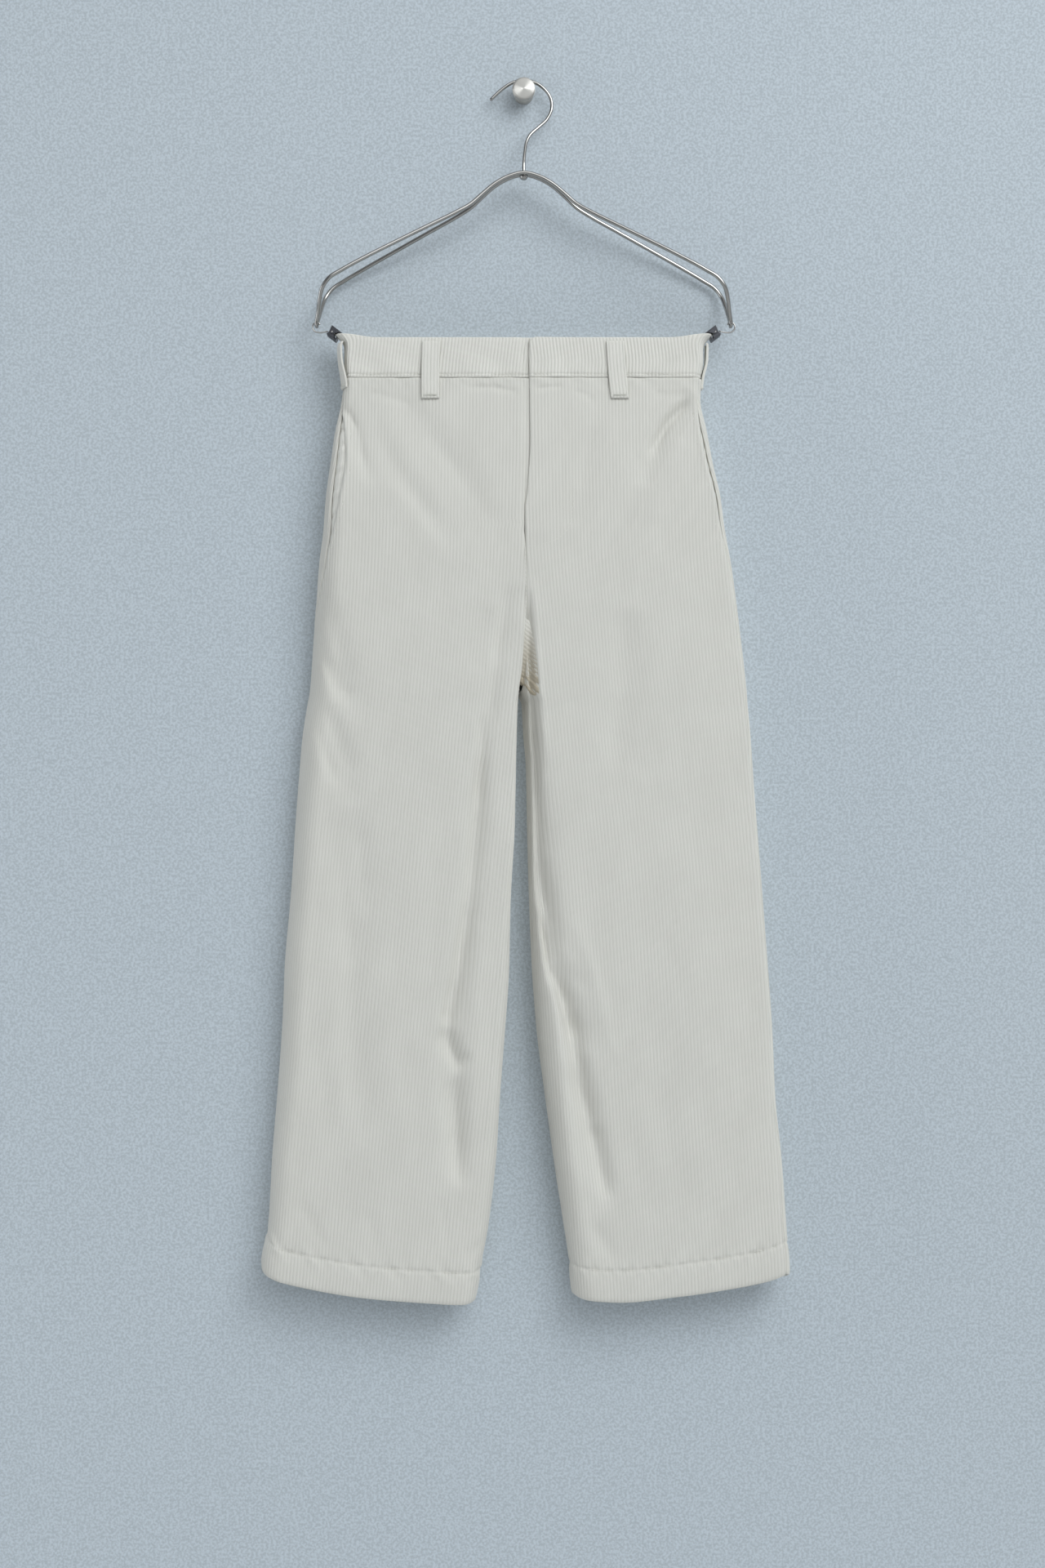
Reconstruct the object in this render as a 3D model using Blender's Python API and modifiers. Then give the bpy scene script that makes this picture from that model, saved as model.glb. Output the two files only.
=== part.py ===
"""Wide-leg corduroy trousers, clipped by the waist to a wire hanger that hangs on a round wall peg.

Units are metres, +Z is up, the wall is the plane y = 0 and the trousers' front faces -Y.
Left and right are the wearer's, so the left leg is at +X.
The origin is the centre of the peg's flat face on the wall.
"""

import math
from collections import namedtuple

import bmesh
import bpy
import numpy as np
from mathutils import Matrix

MM = 0.001
LEFT = 1
RIGHT = -1
FRONT = 1
BACK = -1

# The garment
MID_DEPTH = -29 * MM
WAIST_TOP = -243.0 * MM
WAIST_SEAM = -281.5 * MM
CROTCH = -579.5 * MM
CLOTH = 1.8 * MM
BAND_CLOTH = 3.2 * MM
HEM_CLOTH = 3.4 * MM
HEM_DEPTH = 30 * MM
SEAM_GAP = 0.3 * MM
HALF_GAP = SEAM_GAP / 2
VALLEY_TOP = -486 * MM
VALLEY_CURVE = 1.25
CROWN = 0.12

# The waist's corners, which the clips pull outward and up
CORNER_START = -255.7 * MM
CORNER_HEIGHT = 16.5 * MM
CORNER_PULL = 10 * MM
CORNER_RISE = 3.8 * MM
CORNER_REACH = 14 * MM

# The fly and the waistband's overlap, measured from the centre front
OVERLAP_EDGE = 5 * MM
FLY_UNDERLAP = 12 * MM
OVERLAP_CORNER = 9 * MM
RAMP_START = -7 * MM
RAMP_END = 2 * MM
FLY_LIFT = 1.1 * MM
FLY_SINK = 1.2 * MM
BAND_LIFT = 1.8 * MM
BAND_SINK = 1.8 * MM
LIFT_REACH = 30 * MM
FLY_STRAIGHT_END = -400 * MM
FLY_SEAM_START = -425 * MM
FLY_FLAT = -443 * MM
FLY_START = -1 * MM
ZIP_TAPE_WIDTH = 26 * MM
ZIP_THICKNESS = 1.0 * MM
ZIP_INSET = CLOTH + 0.5 * MM
ZIP_BOTTOM = -424 * MM
SHIELD_REACH = 40 * MM
SHIELD_START = -9 * MM
SHIELD_THICKNESS = 1.6 * MM
SHIELD_INSET = ZIP_INSET + ZIP_THICKNESS + SEAM_GAP
SHIELD_BOTTOM = -434 * MM

# The pockets in the side seams
POCKET_TOP = -316 * MM
POCKET_BOTTOM = -443 * MM
POCKET_GAPE = {RIGHT: 13 * MM, LEFT: 2.5 * MM}
POCKET_SKEW = 1.3
POCKET_FULLNESS = 0.8
BAG_CLOTH = 1.2 * MM
BAG_INSET = CLOTH + 0.9 * MM
BAG_BEHIND = (10, 5, 1)

# How far in front of the side's middle the side seams run at the pockets and down the legs
SEAM_FORWARD = {RIGHT: 16 * MM, LEFT: 21 * MM}
SEAM_LOW = {RIGHT: -9 * MM, LEFT: 16 * MM}
SEAM_WAIST_SHARE = 0.5
SEAM_SPREAD_START = -285 * MM
SEAM_SPREAD_END = -330 * MM
SEAM_TURN_START = {RIGHT: -443 * MM, LEFT: -443 * MM}
SEAM_TURN_END = {RIGHT: -540 * MM, LEFT: -900 * MM}

# Belt loops
LOOP_WIDTH = 17 * MM
LOOP_CLOTH = 2.2 * MM
LOOP_TOP = -247.0 * MM
LOOP_BOTTOM = -302 * MM
LOOP_GAP = 0.7 * MM
LOOP_SLACK = 1.2 * MM
SIDE_LOOP_BOTTOM = -291 * MM
SIDE_LOOP_SLACK = 5.0 * MM
SIDE_SLACK_PLACES = (0, 0.12, 0.4, 0.7, 1.0)
SIDE_SLACK_SHARES = (0.5, 1.0, 0.85, 0.4, 0.0)

# The hanger and the peg
HOOK_WIRE = 3.2 * MM
BOW_WIRE = 4.0 * MM
LINK_WIRE = 1.5 * MM
CLIP_WIDTH = 14 * MM
CLIP_SLOPE = math.radians(37.7)
CLIP_PINCH = (175.5 * MM, -241.7 * MM)
SPRING_RADIUS = 3.2 * MM
SPRING_BACK = 9.0 * MM
SPRING_WIDTH = 12 * MM

# Sections of the trousers across the body, in millimetres, from the waist down. side is the distance from
# x = 0 to each side's edge at mid-depth, gap the distance from the centre plane to each leg's inner edge,
# centre that plane's x, front and back the half depths, side_round and inner_round the lengths over which
# the cloth turns at its edges, and lean how far the back lies towards the wearer's right, per unit of depth.
Section = namedtuple(
    "Section", "z right_side left_side right_gap left_gap centre front back side_round inner_round lean"
)
SECTIONS = (
    Section(-239.0, 171.0, 171.0, 0.15, 0.15, 0.0, 16.0, 15.0, 6.0, 10.0, 0.00),
    Section(-262.0, 171.0, 171.0, 0.15, 0.15, 0.0, 16.0, 15.0, 6.0, 10.0, 0.00),
    Section(-281.5, 171.0, 168.5, 0.15, 0.15, 0.0, 16.5, 15.5, 7.5, 10.0, 0.02),
    Section(-300.0, 173.5, 168.0, 0.15, 0.15, -0.5, 18.0, 17.0, 9.0, 10.0, 0.06),
    Section(-331.0, 180.5, 174.0, 0.15, 0.15, -1.5, 21.0, 19.0, 12.0, 10.0, 0.12),
    Section(-363.0, 185.0, 179.5, 0.15, 0.15, -3.0, 23.0, 21.0, 14.0, 10.0, 0.18),
    Section(-394.0, 189.0, 186.0, 0.15, 0.15, -4.0, 24.5, 22.0, 15.0, 10.0, 0.22),
    Section(-425.0, 191.0, 189.5, 0.15, 0.15, -5.0, 25.0, 23.0, 15.0, 10.0, 0.26),
    Section(-456.0, 194.5, 194.5, 0.15, 0.15, -5.0, 25.5, 23.0, 15.0, 10.5, 0.30),
    Section(-519.0, 198.0, 202.0, 0.15, 0.15, -4.5, 25.5, 23.0, 15.0, 11.0, 0.38),
    Section(-579.5, 202.0, 208.5, 0.15, 0.15, -4.0, 25.0, 23.0, 15.0, 11.0, 0.43),
    Section(-590.0, 204.0, 209.5, 5.0, 5.0, -4.0, 24.5, 23.0, 15.0, 11.0, 0.43),
    Section(-620.0, 209.0, 212.5, 6.5, 6.0, -3.5, 24.0, 22.5, 15.0, 11.0, 0.43),
    Section(-651.0, 212.0, 214.5, 8.0, 7.5, -2.5, 23.5, 22.0, 15.0, 11.5, 0.43),
    Section(-714.0, 217.0, 219.5, 9.5, 8.0, -2.0, 22.5, 21.5, 15.0, 12.0, 0.42),
    Section(-776.0, 221.5, 224.5, 12.5, 9.0, -2.0, 22.0, 21.0, 15.0, 13.0, 0.40),
    Section(-838.0, 227.0, 229.5, 13.5, 11.0, -2.0, 22.0, 21.0, 15.0, 14.0, 0.37),
    Section(-901.0, 229.5, 234.5, 17.5, 15.5, -2.0, 22.0, 21.0, 15.0, 15.0, 0.34),
    Section(-963.0, 234.0, 238.0, 23.0, 22.0, -1.0, 22.0, 21.0, 15.0, 16.0, 0.31),
    Section(-1026.0, 239.5, 245.0, 28.0, 29.0, 0.5, 22.0, 21.0, 16.0, 17.0, 0.28),
    Section(-1088.0, 243.5, 249.5, 35.5, 38.0, 1.0, 21.5, 20.5, 17.0, 18.0, 0.25),
    Section(-1125.0, 250.5, 252.0, 43.0, 43.0, 1.5, 21.5, 20.5, 17.0, 18.0, 0.24),
    Section(-1160.0, 254.0, 255.0, 49.0, 45.0, 2.0, 21.5, 20.5, 17.0, 18.0, 0.24),
)

# The hem's height, in millimetres, at shares of the way from the side seam to the inner leg.
Hem = namedtuple("Hem", "share right left")
HEMS = (
    Hem(0.00, -1124.5, -1131.5),
    Hem(0.10, -1134.5, -1138.5),
    Hem(0.30, -1146.0, -1146.5),
    Hem(0.50, -1153.5, -1152.5),
    Hem(0.75, -1158.5, -1158.0),
    Hem(0.90, -1160.5, -1156.5),
    Hem(1.00, -1157.5, -1153.5),
)

# Soft folds, in millimetres. Each runs through three points of the front or the back, and height is how
# far its middle stands out, which is negative in a trough.
Fold = namedtuple("Fold", "face x0 z0 x1 z1 x2 z2 width height")
FOLDS = (
    Fold(FRONT, -172, -306, -157, -347, -140, -384, 9, -3.6),
    Fold(FRONT, -160, -292, -110, -374, -52, -450, 13, -2.4),
    Fold(FRONT, -126, -288, -78, -343, -30, -400, 12, -2.0),
    Fold(FRONT, -140, -320, -84, -400, -40, -470, 15, 1.6),
    Fold(FRONT, 163, -298, 134, -336, 110, -385, 9, -4.2),
    Fold(FRONT, 150, -340, 128, -372, 116, -420, 12, 1.8),
    Fold(FRONT, 70, -330, 57, -378, 44, -424, 12, -1.8),
    Fold(FRONT, -184, -548, -174, -567, -162, -590, 8, -2.6),
    Fold(FRONT, -187, -592, -174, -625, -160, -660, 9, -2.6),
    Fold(FRONT, -187, -482, -176, -528, -164, -572, 10, -2.0),
    Fold(FRONT, -6, -478, -15, -513, -24, -552, 9, -2.0),
    Fold(FRONT, -34, -500, -40, -532, -47, -562, 10, -1.8),
    Fold(FRONT, -44, -770, -61, -850, -68, -895, 11, -3.6),
    Fold(FRONT, -80, -900, -66, -919, -54, -936, 8, -3.8),
    Fold(FRONT, -67, -946, -62, -994, -58, -1048, 11, -3.4),
    Fold(FRONT, -40, -800, -46, -900, -36, -1010, 14, 1.8),
    Fold(FRONT, 24, -640, 25, -775, 31, -825, 10, -3.6),
    Fold(FRONT, 30, -840, 49, -875, 62, -922, 9, -4.2),
    Fold(FRONT, 45, -936, 61, -976, 82, -1072, 10, -3.8),
    Fold(FRONT, 68, -1085, 77, -1102, 88, -1122, 8, -2.2),
    Fold(FRONT, 20, -850, 34, -967, 55, -1110, 9, 2.2),
    Fold(FRONT, 98, -505, 96, -582, 90, -660, 22, -1.8),
    Fold(FRONT, -148, -705, -152, -771, -157, -840, 20, -2.0),
    Fold(FRONT, 150, -700, 158, -820, 170, -960, 26, 1.8),
    Fold(BACK, -165, -300, -140, -350, -112, -420, 12, -3.0),
    Fold(BACK, 160, -300, 138, -345, 118, -400, 12, -3.4),
    Fold(BACK, -96, -320, -62, -390, -30, -470, 16, -2.4),
    Fold(BACK, 92, -318, 60, -400, 26, -480, 15, -2.2),
    Fold(BACK, -30, -500, -44, -545, -70, -590, 12, -3.2),
    Fold(BACK, 22, -505, 40, -550, 66, -600, 12, -2.8),
    Fold(BACK, -70, -760, -84, -860, -78, -940, 14, -3.2),
    Fold(BACK, -72, -960, -80, -1010, -88, -1075, 12, -2.6),
    Fold(BACK, 62, -700, 70, -800, 84, -880, 14, -3.0),
    Fold(BACK, 78, -900, 92, -960, 104, -1060, 12, -3.0),
    Fold(BACK, -160, -620, -168, -760, -176, -880, 22, 1.8),
    Fold(BACK, 164, -600, 174, -740, 184, -900, 22, -1.8),
)

# Each belt loop on a flat face, in millimetres: its x at the top and at the bottom.
Loop = namedtuple("Loop", "name face top_x bottom_x")
LOOPS = (
    Loop("loop_front_right", FRONT, -87.7, -89.8),
    Loop("loop_front_left", FRONT, 86.5, 89.8),
    Loop("loop_back", BACK, 0.0, 0.0),
)

# The hanger's bow from its top to its end, in millimetres. spread is each wire's distance from mid-depth.
Bow = namedtuple("Bow", "x z spread")
BOW = (
    Bow(0, -84.0, 3.9),
    Bow(14.3, -87.4, 4.1),
    Bow(27.3, -94.5, 4.7),
    Bow(38.9, -104.2, 5.6),
    Bow(51.0, -115.0, 7.0),
    Bow(63.4, -122.4, 9.0),
    Bow(89.4, -136.1, 12.5),
    Bow(119.8, -152.1, 16.5),
    Bow(150.1, -168.3, 20.0),
    Bow(172.8, -181.2, 22.0),
    Bow(184.2, -188.6, 22.2),
    Bow(190.2, -196.5, 20.5),
    Bow(193.8, -207.5, 14.5),
    Bow(195.8, -217.5, 7.6),
    Bow(197.4, -225.5, 3.4),
    Bow(197.8, -228.6, 2.6),
    Bow(197.8, -229.6, 1.1),
    Bow(197.8, -229.6, 0.15),
)

# The hook from its tip, over the peg and down its shank, in millimetres.
Hook = namedtuple("Hook", "x y z")
HOOK = (
    Hook(-32.5, -11.0, -8.5),
    Hook(-22.4, -11.0, 1.0),
    Hook(-11.0, -11.0, 8.6),
    Hook(0.0, -11.0, 10.9),
    Hook(11.2, -11.0, 8.6),
    Hook(20.3, -11.0, 2.0),
    Hook(26.4, -11.0, -8.0),
    Hook(26.7, -11.0, -17.1),
    Hook(22.2, -11.6, -27.0),
    Hook(13.4, -13.6, -35.8),
    Hook(6.3, -16.4, -43.1),
    Hook(2.6, -19.4, -51.0),
    Hook(1.2, -22.9, -60.0),
    Hook(0.3, -26.6, -69.5),
    Hook(0.0, -28.6, -76.0),
    Hook(0.0, -29.0, -81.0),
    Hook(0.0, -29.0, -86.0),
)

# The wire that joins each clip to the bow's end, in millimetres, at mid-depth.
Link = namedtuple("Link", "x z")
LINK = (
    Link(186.6, -234.4),
    Link(191.2, -235.5),
    Link(195.6, -235.8),
    Link(199.4, -234.8),
    Link(201.4, -232.2),
    Link(201.5, -229.4),
    Link(200.3, -227.0),
    Link(197.8, -226.1),
    Link(195.6, -226.8),
    Link(194.6, -228.6),
)

# Half sections of the turned pieces, in millimetres, from the top of the axis down the outer side.
PEG_PROFILE = (
    (0, 22.0), (8.6, 22.0), (10.2, 21.6), (11.0, 20.6), (11.0, 16.6), (10.4, 15.7), (8.6, 15.3),
    (8.6, 7.4), (9.0, 7.0), (9.2, 6.4), (9.2, 0.6), (8.6, 0.0), (0, 0.0),
)
RIVET_PROFILE = ((0, 0.0), (3.4, 0.0), (3.9, -0.6), (3.7, -2.2), (2.4, -3.6), (0, -4.0))
RIVET_TOP = -86.3 * MM

# Outlines of the clips' jaws, in millimetres. The first number runs towards the cloth, the second inward.
INNER_JAW = ((-12.8, 3.7), (-0.8, 3.7), (-0.1, 1.7), (1.1, 1.7), (1.6, 4.2), (1.1, 4.9), (-12.8, 4.9))
OUTER_JAW = (
    (-12.0, -4.9), (-1.9, -4.9), (-1.4, -4.3), (-1.5, -1.4), (-2.7, -1.4), (-3.3, -3.7), (-12.0, -3.7),
)

# How finely the solids are divided. The levels and steps are in millimetres.
PANEL_COLUMNS = 17
EDGE_CROWDING = 0.55
BODY_LEVELS = (
    -281.7, -300, -316, -340, -368, -398, -412, -425, -434, -443,
    -460, -480, -502, -524, -545, -561, -572, -579.5,
)
LEG_ROWS = 13
LEG_CROWDING = 1.1
HEM_STEP = 2 * MM
BAND_LEVELS = (0, 0.36, 0.66, 0.79, 0.88, 0.95, 1.0)
BAND_BACK_COLUMNS = 7
BAND_TURN_COLUMNS = 11
BAND_LEFT_STEPS = (160, 145, 118, 90, 66, 48, 34, 23, 14, 9.5, 6.8, 5)
BAND_RIGHT_STEPS = (-160, -145, -115, -80, -45, -20, -7, -4.5, -2, 2, 5, 14, 23, 34, 42)
BAG_COLUMNS = 10
BAG_ROWS = 13
FLY_COLUMNS = 5
FLY_ROWS = 9
LOOP_COLUMNS = 4
LOOP_ROWS = 9
DENSE = 160
TURN_SHARE = 0.25
SHARP_ANGLE = math.radians(50)
WIRE_ROUNDNESS = 2
WIRE_STEPS = 2
BOW_STEPS = 2
LINK_STEPS = 2
PEG_STEPS = 28
RIVET_STEPS = 16
MERGE_DISTANCE = 0.0001
SIDES = {"right": RIGHT, "left": LEFT}

# Colour, roughness and metallic value of each finish
CORDUROY = ((0.60, 0.60, 0.57), 0.9, 0.0)
BAG_FABRIC = ((0.55, 0.54, 0.50), 0.85, 0.0)
ZIP_TAPE = ((0.62, 0.61, 0.57), 0.8, 0.0)
STEEL = ((0.62, 0.63, 0.64), 0.25, 1.0)
DARK_STEEL = ((0.10, 0.10, 0.11), 0.35, 1.0)


def clear_scene():
    for obj in list(bpy.data.objects):
        bpy.data.objects.remove(obj, do_unlink=True)


def make_collection(name):
    collection = bpy.data.collections.new(name)
    bpy.context.scene.collection.children.link(collection)
    return collection


def finish_object(obj, collection, finish):
    """Puts an object into its collection and gives it a material of its own."""
    colour, roughness, metallic = finish
    material = bpy.data.materials.new(obj.name)
    material.use_nodes = True
    shader = material.node_tree.nodes["Principled BSDF"]
    shader.inputs["Base Color"].default_value = (*colour, 1)
    shader.inputs["Roughness"].default_value = roughness
    shader.inputs["Metallic"].default_value = metallic
    obj.data.materials.clear()
    obj.data.materials.append(material)
    collection.objects.link(obj)
    return obj


def smooth_column(levels, values):
    """A monotone cubic through a table's column, so that no value passes its neighbours."""
    levels = np.asarray(levels, float)
    values = np.asarray(values, float)
    step = np.diff(levels)
    rise = np.diff(values) / step
    slope = np.zeros(len(levels))
    slope[0] = rise[0]
    slope[-1] = rise[-1]
    same = rise[:-1] * rise[1:] > 0
    weight_a = 2 * step[1:] + step[:-1]
    weight_b = step[1:] + 2 * step[:-1]
    with np.errstate(divide="ignore", invalid="ignore"):
        mean = (weight_a + weight_b) / (weight_a / rise[:-1] + weight_b / rise[1:])
    slope[1:-1] = np.where(same, mean, 0)

    def read(at):
        at = np.clip(np.asarray(at, float), levels[0], levels[-1])
        i = np.clip(np.searchsorted(levels, at) - 1, 0, len(step) - 1)
        h = step[i]
        t = (at - levels[i]) / h
        start = values[i] * (1 + 2 * t) * (1 - t) ** 2 + values[i + 1] * t**2 * (3 - 2 * t)
        return start + h * (slope[i] * t * (1 - t) ** 2 + slope[i + 1] * t**2 * (t - 1))

    return read


def section_columns():
    """One smooth function of z, in metres, for each column of the sections."""
    rising = SECTIONS[::-1]
    levels = [row.z * MM for row in rising]
    columns = {}
    for name in Section._fields[1:]:
        unit = 1 if name == "lean" else MM
        columns[name] = smooth_column(levels, [getattr(row, name) * unit for row in rising])
    return columns


COLUMNS = section_columns()


def ease(value, start, end):
    """Rises smoothly from 0 at start to 1 at end."""
    t = np.clip((value - start) / (end - start), 0, 1)
    return t * t * (3 - 2 * t)


def inner_edge(side, z):
    """The x of a leg's inner edge at mid-depth, the length of its turn, and how far the edge lies past the
    centre plane, which it does above the crotch, where the centre seam cuts the turn off."""
    name = "left" if side == LEFT else "right"
    turn = COLUMNS["inner_round"](z)
    share = np.clip((z - CROTCH) / (VALLEY_TOP - CROTCH), 0, 1)
    past = turn * share**VALLEY_CURVE
    edge = COLUMNS["centre"](z) + side * (COLUMNS[name + "_gap"](z) - past)
    return edge, turn, past


def form(side, z, along, inset):
    """A place on one half of the garment, before folds and lean. along runs from 0 at the side to 1 at the
    inner edge over the front, and to -1 over the back. inset is the depth below the cloth's outer face.
    The third value is how squarely the cloth faces the front or back there."""
    name = "left" if side == LEFT else "right"
    outer_x = side * COLUMNS[name + "_side"](z)
    side_turn = COLUMNS["side_round"](z)
    inner_x, inner_turn, past = inner_edge(side, z)
    depth = np.where(along >= 0, COLUMNS["front"](z), COLUMNS["back"](z))
    t = np.abs(along)
    side_angle = np.clip(t / TURN_SHARE, 0, 1) * math.pi / 2
    last_angle = np.arccos(np.clip(1 - past / inner_turn, 0, 1))
    inner_share = np.clip((1 - t) / TURN_SHARE, 0, 1)
    inner_angle = last_angle + (math.pi / 2 - last_angle) * inner_share
    flat_start = outer_x - side * side_turn
    flat_end = inner_x + side * inner_turn
    flat_share = np.clip((t - TURN_SHARE) / (1 - 2 * TURN_SHARE), 0, 1)
    x = flat_start + (flat_end - flat_start) * flat_share
    at_side = t < TURN_SHARE
    at_inner = t > 1 - TURN_SHARE
    x = np.where(at_side, flat_start + side * (side_turn - inset) * np.cos(side_angle), x)
    x = np.where(at_inner, flat_end - side * (inner_turn - inset) * np.cos(inner_angle), x)
    turned = np.where(at_side, np.sin(side_angle), np.where(at_inner, np.sin(inner_angle), 1.0))
    half = np.abs(outer_x - inner_x) / 2
    across = np.clip((x - (outer_x + inner_x) / 2) / half, -1, 1)
    crown = 1 - CROWN * across**2 * ease(-z, -WAIST_SEAM, -CROTCH)
    y = MID_DEPTH - np.where(along >= 0, 1, -1) * (depth * crown - inset) * turned
    return x, y, turned


def fold_height(face, x, z):
    """How far the folds move the cloth out at a place on the front or the back."""
    height = np.zeros(np.broadcast(x, z).shape)
    for fold in FOLDS:
        if fold.face != face:
            continue
        points = np.array([(fold.x0, fold.z0), (fold.x1, fold.z1), (fold.x2, fold.z2)]) * MM
        nearest = np.full(height.shape, np.inf)
        place = np.zeros(height.shape)
        for i in range(2):
            run = points[i + 1] - points[i]
            t = ((x - points[i][0]) * run[0] + (z - points[i][1]) * run[1]) / (run @ run)
            t = np.clip(t, 0, 1)
            off = np.hypot(x - points[i][0] - t * run[0], z - points[i][1] - t * run[1])
            place = np.where(off < nearest, (i + t) / 2, place)
            nearest = np.minimum(off, nearest)
        taper = 1 - (2 * place - 1) ** 4
        height = height + fold.height * MM * taper * np.exp(-((nearest / (fold.width * MM)) ** 2))
    return height


def covering(over, offset, lift, sink):
    """The height of an edge that lies over the other at the centre front, or of the one that lies under."""
    lifted = lift * np.exp(-((np.maximum(offset - OVERLAP_EDGE, 0) / LIFT_REACH) ** 2))
    if over:
        return lifted
    sunk = -sink * ease(offset, RAMP_START, RAMP_END)
    return np.where(offset >= OVERLAP_EDGE, lifted - lift - sink, sunk)


def fly_over(x, z):
    return covering(True, x - COLUMNS["centre"](z), FLY_LIFT, FLY_SINK) * ease(z, FLY_FLAT, FLY_SEAM_START)


def fly_under(x, z):
    return covering(False, x - COLUMNS["centre"](z), FLY_LIFT, FLY_SINK) * ease(z, FLY_FLAT, FLY_SEAM_START)


def fly_behind(x, z):
    """The height of what lies behind both fronts: as deep as the one that lies under, without its ramp."""
    offset = np.maximum(x - COLUMNS["centre"](z), OVERLAP_EDGE)
    return covering(False, offset, FLY_LIFT, FLY_SINK)


def band_over(x, z):
    return covering(True, x - COLUMNS["centre"](z), BAND_LIFT, BAND_SINK)


def band_under(x, z):
    return covering(False, x - COLUMNS["centre"](z), BAND_LIFT, BAND_SINK)


def corner_nearness(side, x, z):
    """1 at the waist's side, falling away along the front and the back."""
    name = "left" if side == LEFT else "right"
    reach = COLUMNS[name + "_side"](z) - side * x
    return np.exp(-((np.maximum(reach, 0) / CORNER_REACH) ** 2))


def cloth_point(side, z, along, inset, overlap=None):
    """A point of the cloth, with its folds, its overlap and the clips' pull. An along over 1 lies past the
    centre, on the other half."""
    z = np.asarray(z, float)
    along = np.asarray(along, float)
    past = np.abs(along) > 1
    own = form(side, z, np.clip(along, -1, 1), inset)
    other = form(-side, z, np.where(past, np.sign(along) * (2 - np.abs(along)), 1), inset)
    x, y, turned = (np.where(past, b, a) for a, b in zip(own, other))
    lean = COLUMNS["lean"](z)
    seen_x = x - lean * (y - MID_DEPTH)
    on_front = along >= 0
    height = np.where(on_front, fold_height(FRONT, seen_x, z), fold_height(BACK, seen_x, z)) * turned
    if overlap:
        height = height + np.where(on_front, overlap(x, z), 0)
    y = y - np.where(on_front, 1, -1) * height
    lifted = np.clip((z - CORNER_START) / CORNER_HEIGHT, 0, 1.2) ** 3
    x = x + side * CORNER_PULL * lifted * corner_nearness(side, x, z)
    x = x - lean * (y - MID_DEPTH)
    return np.stack(np.broadcast_arrays(x, y, z), axis=-1)


def run_length(side, z, places):
    """How far each of a row of places lies along the cloth from the first one."""
    x, y, _ = form(side, z, np.minimum(places, 1), 0.0)
    if places[-1] > 1:
        far_x, far_y, _ = form(-side, z, 2 - np.maximum(places, 1), 0.0)
        x = np.where(places > 1, far_x, x)
        y = np.where(places > 1, far_y, y)
    x = x - COLUMNS["lean"](z) * (y - MID_DEPTH)
    return np.concatenate([[0], np.cumsum(np.hypot(np.diff(x), np.diff(y)))])


def place_by_share(side, z, start, end, share):
    """The place that lies a share of the way from start to end, leaving half a seam's gap at both."""
    dense = np.linspace(start, end, DENSE)
    length = run_length(side, z, dense)
    _, turn, past = inner_edge(side, z)
    at_centre = HALF_GAP * float(1 - past / turn)
    final = at_centre if abs(end) == 1 else HALF_GAP
    return float(np.interp(HALF_GAP + (length[-1] - HALF_GAP - final) * share, length, dense))


def place_by_distance(side, z, distance):
    """The place that lies a distance along the front from the side's middle, or along the back below 0."""
    way = 1 if distance >= 0 else -1
    dense = way * np.linspace(0, 1 - TURN_SHARE, DENSE)
    return float(np.interp(abs(distance), run_length(side, z, dense), dense))


def place_at_x(side, z, x, face=FRONT):
    """The place on a half's front or back that has the given x before the lean."""
    if (x - COLUMNS["centre"](z)) * side < 0:
        return face * 2 - place_at_x(-side, z, x, face)
    dense = np.linspace(TURN_SHARE / 2, 1, DENSE)
    across, _, _ = form(side, z, dense * face, 0.0)
    order = np.argsort(across, kind="stable")
    return face * float(np.interp(x, across[order], dense[order]))


def seam_distance(side, z):
    """How far in front of the side's middle the side seam runs."""
    spread = float(ease(-z, -SEAM_SPREAD_START, -SEAM_SPREAD_END))
    upper = SEAM_FORWARD[side] * (SEAM_WAIST_SHARE + (1 - SEAM_WAIST_SHARE) * spread)
    turned = float(ease(-z, -SEAM_TURN_START[side], -SEAM_TURN_END[side]))
    return upper + (SEAM_LOW[side] - upper) * turned


def pocket_gape(side, z):
    """How far the pocket's front edge stands back from the side seam."""
    share = float(np.clip((z - POCKET_BOTTOM) / (POCKET_TOP - POCKET_BOTTOM), 0, 1))
    return POCKET_GAPE[side] * math.sin(math.pi * share**POCKET_SKEW) ** POCKET_FULLNESS


def centre_edge(side, z):
    """The place of a front's centre edge: overlapped down the fly, then at the centre seam."""
    if z < FLY_SEAM_START:
        return 1.0
    closed = float(ease(-z, -FLY_STRAIGHT_END, -FLY_SEAM_START))
    reach = OVERLAP_EDGE if side == LEFT else FLY_UNDERLAP
    offset = reach * (1 - closed) + side * HALF_GAP * closed
    return place_at_x(side, z, float(COLUMNS["centre"](z)) + offset)


def shell(name, outer, inner, collection, finish):
    """A closed sheet of cloth between two grids of points."""
    rows, columns, _ = outer.shape
    mesh = bmesh.new()
    front = [[mesh.verts.new(point) for point in row] for row in outer]
    rear = [[mesh.verts.new(point) for point in row] for row in inner]
    for i in range(rows - 1):
        for j in range(columns - 1):
            mesh.faces.new((front[i][j], front[i][j + 1], front[i + 1][j + 1], front[i + 1][j]))
            mesh.faces.new((rear[i][j], rear[i + 1][j], rear[i + 1][j + 1], rear[i][j + 1]))
    for i in range(rows - 1):
        for j in (0, columns - 1):
            mesh.faces.new((front[i][j], front[i + 1][j], rear[i + 1][j], rear[i][j]))
    for j in range(columns - 1):
        for i in (0, rows - 1):
            mesh.faces.new((front[i][j], front[i][j + 1], rear[i][j + 1], rear[i][j]))
    bmesh.ops.recalc_face_normals(mesh, faces=mesh.faces)
    data = bpy.data.meshes.new(name)
    mesh.to_mesh(data)
    mesh.free()
    data.shade_smooth()
    data.set_sharp_from_angle(angle=SHARP_ANGLE)
    return finish_object(bpy.data.objects.new(name, data), collection, finish)


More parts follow.
